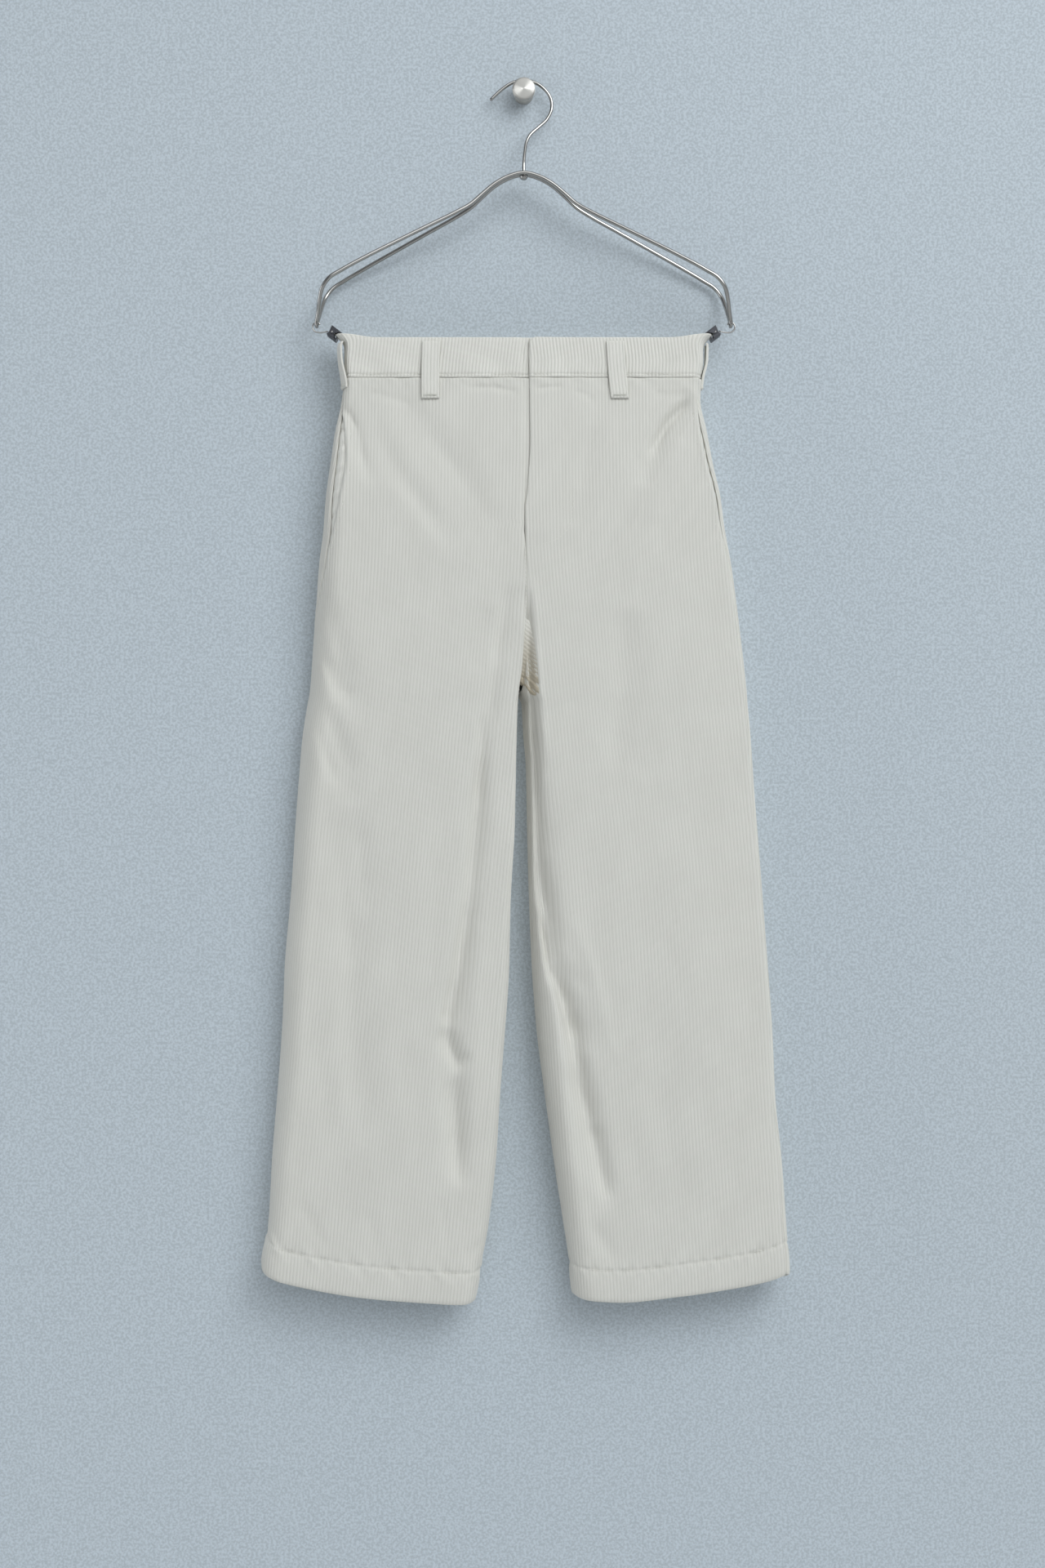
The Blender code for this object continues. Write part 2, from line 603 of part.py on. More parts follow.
def sheet(name, side, heights, places, inset, thickness, collection, finish, overlap=None):
    """A piece of cloth over rows of heights and places of one half."""
    outer = cloth_point(side, heights, places, inset, overlap)
    inner = cloth_point(side, heights, places, inset + thickness, overlap)
    return shell(name, outer, inner, collection, finish)


def hem_height(side):
    """The hem's z as a smooth function of the share of the way from the side to the inner leg."""
    values = [(row.left if side == LEFT else row.right) * MM for row in HEMS]
    return smooth_column([row.share for row in HEMS], values)


def panel_grid(side, face):
    """Heights, places and thickness of a front or a back, from the side seam to the centre and inner leg."""
    hem = hem_height(side)
    steps = np.linspace(0, 1, PANEL_COLUMNS)
    shares = steps - EDGE_CROWDING * np.sin(2 * math.pi * steps) / (2 * math.pi)
    body = np.array(BODY_LEVELS) * MM
    body[0] = WAIST_SEAM - HALF_GAP
    leg_shares = np.linspace(0, 1, LEG_ROWS + 1)[1:] ** LEG_CROWDING
    rows = len(body) + LEG_ROWS + 3
    heights = np.zeros((rows, PANEL_COLUMNS))
    places = np.zeros((rows, PANEL_COLUMNS))
    thickness = np.full((rows, 1), CLOTH)
    thickness[-3:] = HEM_CLOTH
    for j, share in enumerate(shares):
        end_z = float(hem(share))
        top_z = end_z + HEM_DEPTH
        leg = CROTCH + (top_z + HEM_STEP - CROTCH) * leg_shares
        heights[:, j] = np.concatenate([body, leg, [top_z, (top_z + end_z) / 2, end_z]])
        for i, z in enumerate(heights[:, j]):
            start = seam_distance(side, z)
            end = -1.0
            if face == FRONT:
                start += pocket_gape(side, z)
                end = centre_edge(side, z)
            places[i, j] = place_by_share(side, z, place_by_distance(side, z, start), end, share)
    return heights, places, thickness


def panels(side_name, collection):
    """The front and back of one half, and the pocket's bag and facing, which lie behind the front."""
    side = SIDES[side_name]
    heights, places, thickness = panel_grid(side, FRONT)
    overlap = fly_over if side == LEFT else fly_under
    sheet("front_" + side_name, side, heights, places, 0.0, thickness, collection, CORDUROY, overlap)
    heights = heights[:BAG_ROWS, :BAG_COLUMNS]
    behind = np.zeros((BAG_ROWS, len(BAG_BEHIND)))
    for i, z in enumerate(heights[:, 0]):
        for j, distance in enumerate(BAG_BEHIND):
            behind[i, j] = place_by_distance(side, z, seam_distance(side, z) - distance * MM)
    places = np.hstack([behind, places[:BAG_ROWS, :BAG_COLUMNS]])
    heights = np.hstack([heights[:, : len(BAG_BEHIND)], heights])
    sheet("pocket_bag_" + side_name, side, heights, places, BAG_INSET, BAG_CLOTH, collection, BAG_FABRIC)
    heights, places, thickness = panel_grid(side, BACK)
    sheet("back_" + side_name, side, heights, places, 0.0, thickness, collection, CORDUROY)


def waistband(side_name, collection):
    """Half of the waistband, from the centre back round the side to its end at the centre front."""
    side = SIDES[side_name]
    z = WAIST_SEAM
    turn = float(COLUMNS["side_round"](z))
    flat_x = float(COLUMNS[side_name + "_side"](z)) - turn
    back_x = side * np.linspace(HALF_GAP, flat_x, BAND_BACK_COLUMNS)
    places = [place_at_x(side, z, x, BACK) for x in back_x]
    places += list(np.linspace(-TURN_SHARE, TURN_SHARE, BAND_TURN_COLUMNS)[1:-1])
    if side == LEFT:
        front_x = np.array(BAND_LEFT_STEPS) * MM
    else:
        front_x = np.array(BAND_RIGHT_STEPS) * MM
    places += [place_at_x(side, z, x) for x in front_x]
    places = np.array(places)
    shares = np.array(BAND_LEVELS)[:, None]
    x, _, _ = form(side, z, np.minimum(places, 1), 0.0)
    top = WAIST_TOP + CORNER_RISE * corner_nearness(side, x, z)
    if side == LEFT:
        from_end = np.maximum(x - OVERLAP_EDGE, 0)
        cut = np.clip(1 - from_end / OVERLAP_CORNER, 0, 1)
        on_front = places > TURN_SHARE
        top = top - np.where(on_front, OVERLAP_CORNER * (1 - np.sqrt(1 - cut**2)), 0)
    bottom = WAIST_SEAM + HALF_GAP
    heights = bottom + (top[None, :] - bottom) * shares
    places = np.broadcast_to(places, heights.shape)
    overlap = band_over if side == LEFT else band_under
    name = "waistband_" + side_name
    sheet(name, side, heights, places, 0.0, BAND_CLOTH, collection, CORDUROY, overlap)


def fly_piece(name, start, end, bottom, inset, thickness, collection, finish):
    """The zip or the shield behind it, which lie flat against the inside of the fly."""
    heights = np.linspace(WAIST_SEAM - SEAM_GAP, bottom, FLY_ROWS)
    heights = np.repeat(heights[:, None], FLY_COLUMNS, axis=1)
    offsets = np.linspace(start, end, FLY_COLUMNS)
    places = np.zeros(heights.shape)
    for i in range(FLY_ROWS):
        centre = float(COLUMNS["centre"](heights[i, 0]))
        for j in range(FLY_COLUMNS):
            places[i, j] = place_at_x(RIGHT, heights[i, j], centre + offsets[j])
    sheet(name, RIGHT, heights, places, inset, thickness, collection, finish, fly_behind)


def belt_loop(name, side, levels, middles, face, slack, collection):
    """A belt loop over rows of places, sewn down at its top and bottom and slack between."""
    offsets = np.linspace(-LOOP_WIDTH / 2, LOOP_WIDTH / 2, LOOP_COLUMNS)
    heights = np.repeat(levels[:, None], LOOP_COLUMNS, axis=1)
    places = np.zeros(heights.shape)
    for i, z in enumerate(levels):
        for j, offset in enumerate(offsets):
            if face:
                places[i, j] = place_at_x(side, z, middles[i] + offset, face)
            else:
                reach = float(COLUMNS["front"](z)) + LOOP_GAP + slack[i] + LOOP_CLOTH / 2
                places[i, j] = TURN_SHARE * math.asin(offset / reach) / (math.pi / 2)
    inner = -LOOP_GAP - slack[:, None]
    sheet(name, side, heights, places, inner - LOOP_CLOTH, LOOP_CLOTH, collection, CORDUROY)


def belt_loops(collection):
    shares = np.linspace(0, 1, LOOP_ROWS)
    levels = LOOP_TOP + (LOOP_BOTTOM - LOOP_TOP) * shares
    slack = LOOP_SLACK * np.sin(math.pi * shares)
    for loop in LOOPS:
        middles = (loop.top_x + (loop.bottom_x - loop.top_x) * shares) * MM
        side = LEFT if loop.top_x > 0 else RIGHT
        belt_loop(loop.name, side, levels, middles, loop.face, slack, collection)
    levels = LOOP_TOP + (SIDE_LOOP_BOTTOM - LOOP_TOP) * shares
    slack = SIDE_LOOP_SLACK * np.interp(shares, SIDE_SLACK_PLACES, SIDE_SLACK_SHARES)
    for side_name, side in SIDES.items():
        belt_loop("loop_side_" + side_name, side, levels, None, 0, slack, collection)


def smooth_path(points, steps):
    """Points along a smooth curve through the given ones, with steps points to each stretch."""
    points = np.array(points, float)
    length = np.concatenate([[0], np.cumsum(np.linalg.norm(np.diff(points, axis=0), axis=1))])
    slope = np.gradient(points, length, axis=0)
    t = (np.arange(steps) / steps)[:, None]
    path = []
    for i, h in enumerate(np.diff(length)):
        first = points[i] * (1 + 2 * t) * (1 - t) ** 2 + points[i + 1] * t**2 * (3 - 2 * t)
        path.append(first + h * (slope[i] * t * (1 - t) ** 2 + slope[i + 1] * t**2 * (t - 1)))
    return np.vstack([*path, points[-1:]])


def wire(name, points, radius, collection, finish):
    data = bpy.data.curves.new(name, "CURVE")
    data.dimensions = "3D"
    data.bevel_depth = radius
    data.bevel_resolution = WIRE_ROUNDNESS
    data.use_fill_caps = True
    line = data.splines.new("POLY")
    line.points.add(len(points) - 1)
    for target, point in zip(line.points, points):
        target.co = (*point, 1)
    line.use_smooth = True
    return finish_object(bpy.data.objects.new(name, data), collection, finish)


def flat_piece(name, outline, width, matrix, collection, finish):
    """A piece of one outline all through, which is centred across its width."""
    data = bpy.data.curves.new(name, "CURVE")
    data.dimensions = "2D"
    data.fill_mode = "BOTH"
    data.extrude = width / 2
    line = data.splines.new("POLY")
    line.points.add(len(outline) - 1)
    for target, (x, y) in zip(line.points, outline):
        target.co = (x * MM, y * MM, 0, 1)
    line.use_cyclic_u = True
    obj = bpy.data.objects.new(name, data)
    obj.matrix_world = matrix
    return finish_object(obj, collection, finish)


def turned_piece(name, profile, matrix, steps, collection, finish):
    data = bpy.data.meshes.new(name)
    points = [(r * MM, 0, z * MM) for r, z in profile]
    data.from_pydata(points, [(i, i + 1) for i in range(len(points) - 1)], [])
    obj = bpy.data.objects.new(name, data)
    screw = obj.modifiers.new("turn", "SCREW")
    screw.steps = steps
    screw.render_steps = steps
    screw.use_merge_vertices = True
    screw.merge_threshold = MERGE_DISTANCE
    screw.use_smooth_shade = True
    obj.matrix_world = matrix
    return finish_object(obj, collection, finish)


def hanger(collection):
    """The bow of two wires, the hook through its top, and a clip at each end."""
    wire("hanger_hook", smooth_path(HOOK, WIRE_STEPS) * MM, HOOK_WIRE / 2, collection, STEEL)
    place = Matrix.Translation((0, MID_DEPTH, RIVET_TOP))
    turned_piece("hook_rivet", RIVET_PROFILE, place, RIVET_STEPS, collection, STEEL)
    for name, way in (("bow_front", -1), ("bow_rear", 1)):
        half = [(row.x * MM, MID_DEPTH + way * row.spread * MM, row.z * MM) for row in BOW]
        other = [(-x, y, z) for x, y, z in half[:0:-1]]
        wire(name, smooth_path(other + half, BOW_STEPS), BOW_WIRE / 2, collection, STEEL)
    for side_name, side in SIDES.items():
        clip(side_name, side, collection)


def clip(side_name, side, collection):
    """A spring clip. Its jaws hold the waist's corner, and a wire joins it to the bow."""
    x, z = CLIP_PINCH
    c, s = math.cos(CLIP_SLOPE), math.sin(CLIP_SLOPE)
    place = Matrix(
        (
            (-side * c, -side * s, 0, side * x),
            (0, 0, side, MID_DEPTH),
            (-s, c, 0, z),
            (0, 0, 0, 1),
        )
    )
    tag = "clip_" + side_name
    flat_piece(tag + "_inner_jaw", INNER_JAW, CLIP_WIDTH, place, collection, DARK_STEEL)
    flat_piece(tag + "_outer_jaw", OUTER_JAW, CLIP_WIDTH, place, collection, DARK_STEEL)
    spring_x = side * (x + SPRING_BACK * c)
    spring_z = z + SPRING_BACK * s
    ends = [(spring_x, MID_DEPTH + way * SPRING_WIDTH / 2, spring_z) for way in (-1, 1)]
    wire(tag + "_spring", ends, SPRING_RADIUS, collection, STEEL)
    link = [(side * row.x * MM, MID_DEPTH, row.z * MM) for row in LINK]
    wire(tag + "_link", smooth_path(link, LINK_STEPS), LINK_WIRE / 2, collection, STEEL)


def main():
    clear_scene()
    collection = make_collection("corduroy_trousers_on_hanger")
    for side_name in SIDES:
        panels(side_name, collection)
        waistband(side_name, collection)
    zip_end = FLY_START + ZIP_TAPE_WIDTH
    fly_piece("zip", FLY_START, zip_end, ZIP_BOTTOM, ZIP_INSET, ZIP_THICKNESS, collection, ZIP_TAPE)
    shield = (SHIELD_START, SHIELD_REACH, SHIELD_BOTTOM, SHIELD_INSET, SHIELD_THICKNESS)
    fly_piece("fly_shield", *shield, collection, CORDUROY)
    belt_loops(collection)
    hanger(collection)
    place = Matrix.Rotation(math.radians(90), 4, "X")
    turned_piece("wall_peg", PEG_PROFILE, place, PEG_STEPS, collection, STEEL)


main()
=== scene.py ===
"""The looks of the corduroy trousers, their clip hanger and the wall peg.

Every piece of cloth is laid over the same sections and folds as its solid, with wales, seams, stitches and
smaller creases of its own. Units are metres. Left and right are the wearer's, so the left leg is at +X.
"""

import math
from collections import namedtuple
from functools import partial

import bmesh
import bpy
import numpy as np
from mathutils import Matrix, Vector


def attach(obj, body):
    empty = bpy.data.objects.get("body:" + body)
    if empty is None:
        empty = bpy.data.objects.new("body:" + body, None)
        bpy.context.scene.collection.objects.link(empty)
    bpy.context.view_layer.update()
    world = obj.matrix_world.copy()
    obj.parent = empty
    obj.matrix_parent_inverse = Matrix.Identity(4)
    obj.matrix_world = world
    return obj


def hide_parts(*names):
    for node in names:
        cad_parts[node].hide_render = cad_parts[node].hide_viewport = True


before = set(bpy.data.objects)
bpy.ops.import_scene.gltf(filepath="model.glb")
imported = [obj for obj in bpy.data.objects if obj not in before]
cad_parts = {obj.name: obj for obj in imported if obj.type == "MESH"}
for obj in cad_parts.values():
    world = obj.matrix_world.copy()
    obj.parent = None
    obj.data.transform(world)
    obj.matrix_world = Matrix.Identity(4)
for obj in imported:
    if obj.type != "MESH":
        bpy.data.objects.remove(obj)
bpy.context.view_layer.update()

MM = 0.001
LEFT = 1
RIGHT = -1
FRONT = 1
BACK = -1
SIDES = {"right": RIGHT, "left": LEFT}
SIDE_NAMES = {RIGHT: "right", LEFT: "left"}

# The garment
MID_DEPTH = -29 * MM
WAIST_TOP = -243.0 * MM
WAIST_SEAM = -281.5 * MM
CROTCH = -579.5 * MM
CLOTH = 1.8 * MM
BAND_CLOTH = 3.2 * MM
HEM_CLOTH = 3.4 * MM
HEM_DEPTH = 30 * MM
SEAM_GAP = 0.3 * MM
HALF_GAP = SEAM_GAP / 2
VALLEY_TOP = -486 * MM
VALLEY_CURVE = 1.25
CROWN = 0.12

# The waist's corners, which the clips pull outward and up
CORNER_START = -255.7 * MM
CORNER_HEIGHT = 16.5 * MM
CORNER_MOST = 1.2
CORNER_PULL = 10 * MM
CORNER_RISE = 3.8 * MM
CORNER_REACH = 14 * MM

# The fly and the waistband's overlap, measured from the centre front
OVERLAP_EDGE = 5 * MM
FLY_UNDERLAP = 12 * MM
OVERLAP_CORNER = 9 * MM
RAMP_START = -7 * MM
RAMP_END = 2 * MM
FLY_LIFT = 1.1 * MM
FLY_SINK = 1.2 * MM
BAND_LIFT = 1.8 * MM
BAND_SINK = 1.8 * MM
LIFT_REACH = 30 * MM
FLY_STRAIGHT_END = -400 * MM
FLY_DRAWN_END = -340 * MM
FLY_SEAM_START = -425 * MM
FLY_FLAT = -443 * MM
FLY_START = -1 * MM
ZIP_TAPE_WIDTH = 26 * MM
ZIP_THICKNESS = 1.0 * MM
ZIP_INSET = CLOTH + 0.5 * MM
ZIP_BOTTOM = -424 * MM
SHIELD_REACH = 40 * MM
SHIELD_START = -9 * MM
SHIELD_THICKNESS = 1.6 * MM
SHIELD_INSET = ZIP_INSET + ZIP_THICKNESS + SEAM_GAP
SHIELD_BOTTOM = -434 * MM

# The pockets in the side seams
POCKET_TOP = -316 * MM
POCKET_BOTTOM = -443 * MM
POCKET_GAPE = {RIGHT: 13 * MM, LEFT: 2.5 * MM}
POCKET_SKEW = 1.3
POCKET_FULLNESS = 0.8
BAG_CLOTH = 1.2 * MM
BAG_INSET = CLOTH + 0.9 * MM

# How far in front of the side's middle the side seams run at the pockets and down the legs
SEAM_FORWARD = {RIGHT: 16 * MM, LEFT: 21 * MM}
SEAM_LOW = {RIGHT: -9 * MM, LEFT: 16 * MM}
SEAM_WAIST_SHARE = 0.5
SEAM_SPREAD_START = -285 * MM
SEAM_SPREAD_END = -330 * MM
SEAM_TURN_START = -443 * MM
SEAM_TURN_END = {RIGHT: -540 * MM, LEFT: -900 * MM}

# Belt loops
LOOP_WIDTH = 17 * MM
LOOP_CLOTH = 2.2 * MM
LOOP_TOP = -247.0 * MM
LOOP_BOTTOM = -302 * MM
LOOP_GAP = 0.7 * MM
LOOP_SLACK = 1.2 * MM
SIDE_LOOP_BOTTOM = -291 * MM
SIDE_SLACK_PLACES = (0, 0.12, 0.4, 0.7, 1.0)
SIDE_SLACK_SHARES = (0.5, 1.0, 0.85, 0.4, 0.0)

# The hanger and the peg
HOOK_WIRE = 3.2 * MM
BOW_WIRE = 4.0 * MM
LINK_WIRE = 1.5 * MM
CLIP_WIDTH = 14 * MM
CLIP_SLOPE = math.radians(37.7)
CLIP_PINCH = (175.5 * MM, -241.7 * MM)
SPRING_BACK = 9.0 * MM

# Sections of the trousers across the body, in millimetres, from the waist down. side is the distance from
# x = 0 to each side's edge at mid-depth, gap the distance from the centre plane to each leg's inner edge,
# centre that plane's x, front and back the half depths, side_round and inner_round the lengths over which
# the cloth turns at its edges, and lean how far the back lies towards the wearer's right, per unit of depth.
Section = namedtuple(
    "Section", "z right_side left_side right_gap left_gap centre front back side_round inner_round lean"
)
SECTIONS = [Section(*row) for row in (
    (-239.0, 171.0, 171.0, 0.15, 0.15, 0.0, 16.0, 15.0, 6.0, 10.0, 0.00),
    (-262.0, 171.0, 171.0, 0.15, 0.15, 0.0, 16.0, 15.0, 6.0, 10.0, 0.00),
    (-281.5, 171.0, 168.5, 0.15, 0.15, 0.0, 16.5, 15.5, 7.5, 10.0, 0.02),
    (-300.0, 173.5, 168.0, 0.15, 0.15, -0.5, 18.0, 17.0, 9.0, 10.0, 0.06),
    (-331.0, 180.5, 174.0, 0.15, 0.15, -1.5, 21.0, 19.0, 12.0, 10.0, 0.12),
    (-363.0, 185.0, 179.5, 0.15, 0.15, -3.0, 23.0, 21.0, 14.0, 10.0, 0.18),
    (-394.0, 189.0, 186.0, 0.15, 0.15, -4.0, 24.5, 22.0, 15.0, 10.0, 0.22),
    (-425.0, 191.0, 189.5, 0.15, 0.15, -5.0, 25.0, 23.0, 15.0, 10.0, 0.26),
    (-456.0, 194.5, 194.5, 0.15, 0.15, -5.0, 25.5, 23.0, 15.0, 10.5, 0.30),
    (-519.0, 198.0, 202.0, 0.15, 0.15, -4.5, 25.5, 23.0, 15.0, 11.0, 0.38),
    (-579.5, 202.0, 208.5, 0.15, 0.15, -4.0, 25.0, 23.0, 15.0, 11.0, 0.43),
    (-590.0, 204.0, 209.5, 5.0, 5.0, -4.0, 24.5, 23.0, 15.0, 11.0, 0.43),
    (-620.0, 209.0, 212.5, 6.5, 6.0, -3.5, 24.0, 22.5, 15.0, 11.0, 0.43),
    (-651.0, 212.0, 214.5, 8.0, 7.5, -2.5, 23.5, 22.0, 15.0, 11.5, 0.43),
    (-714.0, 217.0, 219.5, 9.5, 8.0, -2.0, 22.5, 21.5, 15.0, 12.0, 0.42),
    (-776.0, 221.5, 224.5, 12.5, 9.0, -2.0, 22.0, 21.0, 15.0, 13.0, 0.40),
    (-838.0, 227.0, 229.5, 13.5, 11.0, -2.0, 22.0, 21.0, 15.0, 14.0, 0.37),
    (-901.0, 229.5, 234.5, 17.5, 15.5, -2.0, 22.0, 21.0, 15.0, 15.0, 0.34),
    (-963.0, 234.0, 238.0, 23.0, 22.0, -1.0, 22.0, 21.0, 15.0, 16.0, 0.31),
    (-1026.0, 239.5, 245.0, 28.0, 29.0, 0.5, 22.0, 21.0, 16.0, 17.0, 0.28),
    (-1088.0, 243.5, 249.5, 35.5, 38.0, 1.0, 21.5, 20.5, 17.0, 18.0, 0.25),
    (-1125.0, 250.5, 252.0, 43.0, 43.0, 1.5, 21.5, 20.5, 17.0, 18.0, 0.24),
    (-1160.0, 254.0, 255.0, 49.0, 45.0, 2.0, 21.5, 20.5, 17.0, 18.0, 0.24),
)]

# The hem's height, in millimetres, at shares of the way from the side seam to the inner leg.
Hem = namedtuple("Hem", "share right left")
HEMS = [Hem(*row) for row in (
    (0.00, -1124.5, -1131.5), (0.10, -1134.5, -1138.5), (0.30, -1146.0, -1146.5), (0.50, -1153.5, -1152.5),
    (0.75, -1158.5, -1158.0), (0.90, -1160.5, -1156.5), (1.00, -1157.5, -1153.5),
)]

# Soft folds, in millimetres. Each runs through three points of the front or the back, and height is how
# far its middle stands out, which is negative in a trough.
Fold = namedtuple("Fold", "face x0 z0 x1 z1 x2 z2 width height")
FOLDS = [Fold(FRONT, *row) for row in (
    (-172, -306, -157, -347, -140, -384, 9, -3.6), (-160, -292, -110, -374, -52, -450, 13, -2.4),
    (-126, -288, -78, -343, -30, -400, 12, -2.0), (-140, -320, -84, -400, -40, -470, 15, 1.6),
    (163, -298, 134, -336, 110, -385, 9, -4.2), (150, -340, 128, -372, 116, -420, 12, 1.8),
    (70, -330, 57, -378, 44, -424, 12, -1.8), (-184, -548, -174, -567, -162, -590, 8, -2.6),
    (-187, -592, -174, -625, -160, -660, 9, -2.6), (-187, -482, -176, -528, -164, -572, 10, -2.0),
    (-6, -478, -15, -513, -24, -552, 9, -2.0), (-34, -500, -40, -532, -47, -562, 10, -1.8),
    (-44, -770, -61, -850, -68, -895, 11, -3.6), (-80, -900, -66, -919, -54, -936, 8, -3.8),
    (-67, -946, -62, -994, -58, -1048, 11, -3.4), (-40, -800, -46, -900, -36, -1010, 14, 1.8),
    (24, -640, 25, -775, 31, -825, 10, -3.6), (30, -840, 49, -875, 62, -922, 9, -4.2),
    (45, -936, 61, -976, 82, -1072, 10, -3.8), (68, -1085, 77, -1102, 88, -1122, 8, -2.2),
    (20, -850, 34, -967, 55, -1110, 9, 2.2), (98, -505, 96, -582, 90, -660, 22, -1.8),
    (-148, -705, -152, -771, -157, -840, 20, -2.0), (150, -700, 158, -820, 170, -960, 26, 1.8),
)] + [Fold(BACK, *row) for row in (
    (-165, -300, -140, -350, -112, -420, 12, -3.0), (160, -300, 138, -345, 118, -400, 12, -3.4),
    (-96, -320, -62, -390, -30, -470, 16, -2.4), (92, -318, 60, -400, 26, -480, 15, -2.2),
    (-30, -500, -44, -545, -70, -590, 12, -3.2), (22, -505, 40, -550, 66, -600, 12, -2.8),
    (-70, -760, -84, -860, -78, -940, 14, -3.2), (-72, -960, -80, -1010, -88, -1075, 12, -2.6),
    (62, -700, 70, -800, 84, -880, 14, -3.0), (78, -900, 92, -960, 104, -1060, 12, -3.0),
    (-160, -620, -168, -760, -176, -880, 22, 1.8), (164, -600, 174, -740, 184, -900, 22, -1.8),
)]

# Each belt loop on a flat face, in millimetres: its x at the top and at the bottom.
Loop = namedtuple("Loop", "name face top_x bottom_x")
LOOPS = (
    Loop("loop_front_right", FRONT, -87.7, -89.8),
    Loop("loop_front_left", FRONT, 86.5, 89.8),
    Loop("loop_back", BACK, 0.0, 0.0),
)

# The hanger's bow from its top to its end, in millimetres. spread is each wire's distance from mid-depth.
Bow = namedtuple("Bow", "x z spread")
BOW = [Bow(*row) for row in (
    (0, -84.0, 3.9), (14.3, -87.4, 4.1), (27.3, -94.5, 4.7), (38.9, -104.2, 5.6), (51.0, -115.0, 7.0),
    (63.4, -122.4, 9.0), (89.4, -136.1, 12.5), (119.8, -152.1, 16.5), (150.1, -168.3, 20.0),
    (172.8, -181.2, 22.0), (184.2, -188.6, 22.2), (190.2, -196.5, 20.5), (193.8, -207.5, 14.5),
    (195.8, -217.5, 7.6), (197.4, -225.5, 3.4), (197.8, -228.6, 2.6), (197.8, -229.6, 1.1),
    (197.8, -229.6, 0.15),
)]

# The hook from its tip, over the peg and down its shank, in millimetres.
Hook = namedtuple("Hook", "x y z")
HOOK = [Hook(*row) for row in (
    (-32.5, -11.0, -8.5), (-22.4, -11.0, 1.0), (-11.0, -11.0, 8.6), (0.0, -11.0, 10.9), (11.2, -11.0, 8.6),
    (20.3, -11.0, 2.0), (26.4, -11.0, -8.0), (26.7, -11.0, -17.1), (22.2, -11.6, -27.0), (13.4, -13.6, -35.8),
    (6.3, -16.4, -43.1), (2.6, -19.4, -51.0), (1.2, -22.9, -60.0), (0.3, -26.6, -69.5), (0.0, -28.6, -76.0),
    (0.0, -29.0, -81.0), (0.0, -29.0, -86.0),
)]

# The wire that joins each clip to the bow's end, in millimetres, at mid-depth.
Link = namedtuple("Link", "x z")
LINK = [Link(*row) for row in (
    (186.6, -234.4), (191.2, -235.5), (195.6, -235.8), (199.4, -234.8), (201.4, -232.2), (201.5, -229.4),
    (200.3, -227.0), (197.8, -226.1), (195.6, -226.8), (194.6, -228.6),
)]

# Half sections of the turned pieces, in millimetres, from the top of the axis down the outer side.
PEG_PROFILE = (
    (0, 22.0), (8.6, 22.0), (10.2, 21.6), (11.0, 20.6), (11.0, 16.6), (10.4, 15.7), (8.6, 15.3),
    (8.6, 7.4), (9.0, 7.0), (9.2, 6.4), (9.2, 0.6), (8.6, 0.0), (0, 0.0),
)
RIVET_PROFILE = ((0, 0.0), (3.4, 0.0), (3.9, -0.6), (3.7, -2.2), (2.4, -3.6), (0, -4.0))
RIVET_TOP = -86.3 * MM

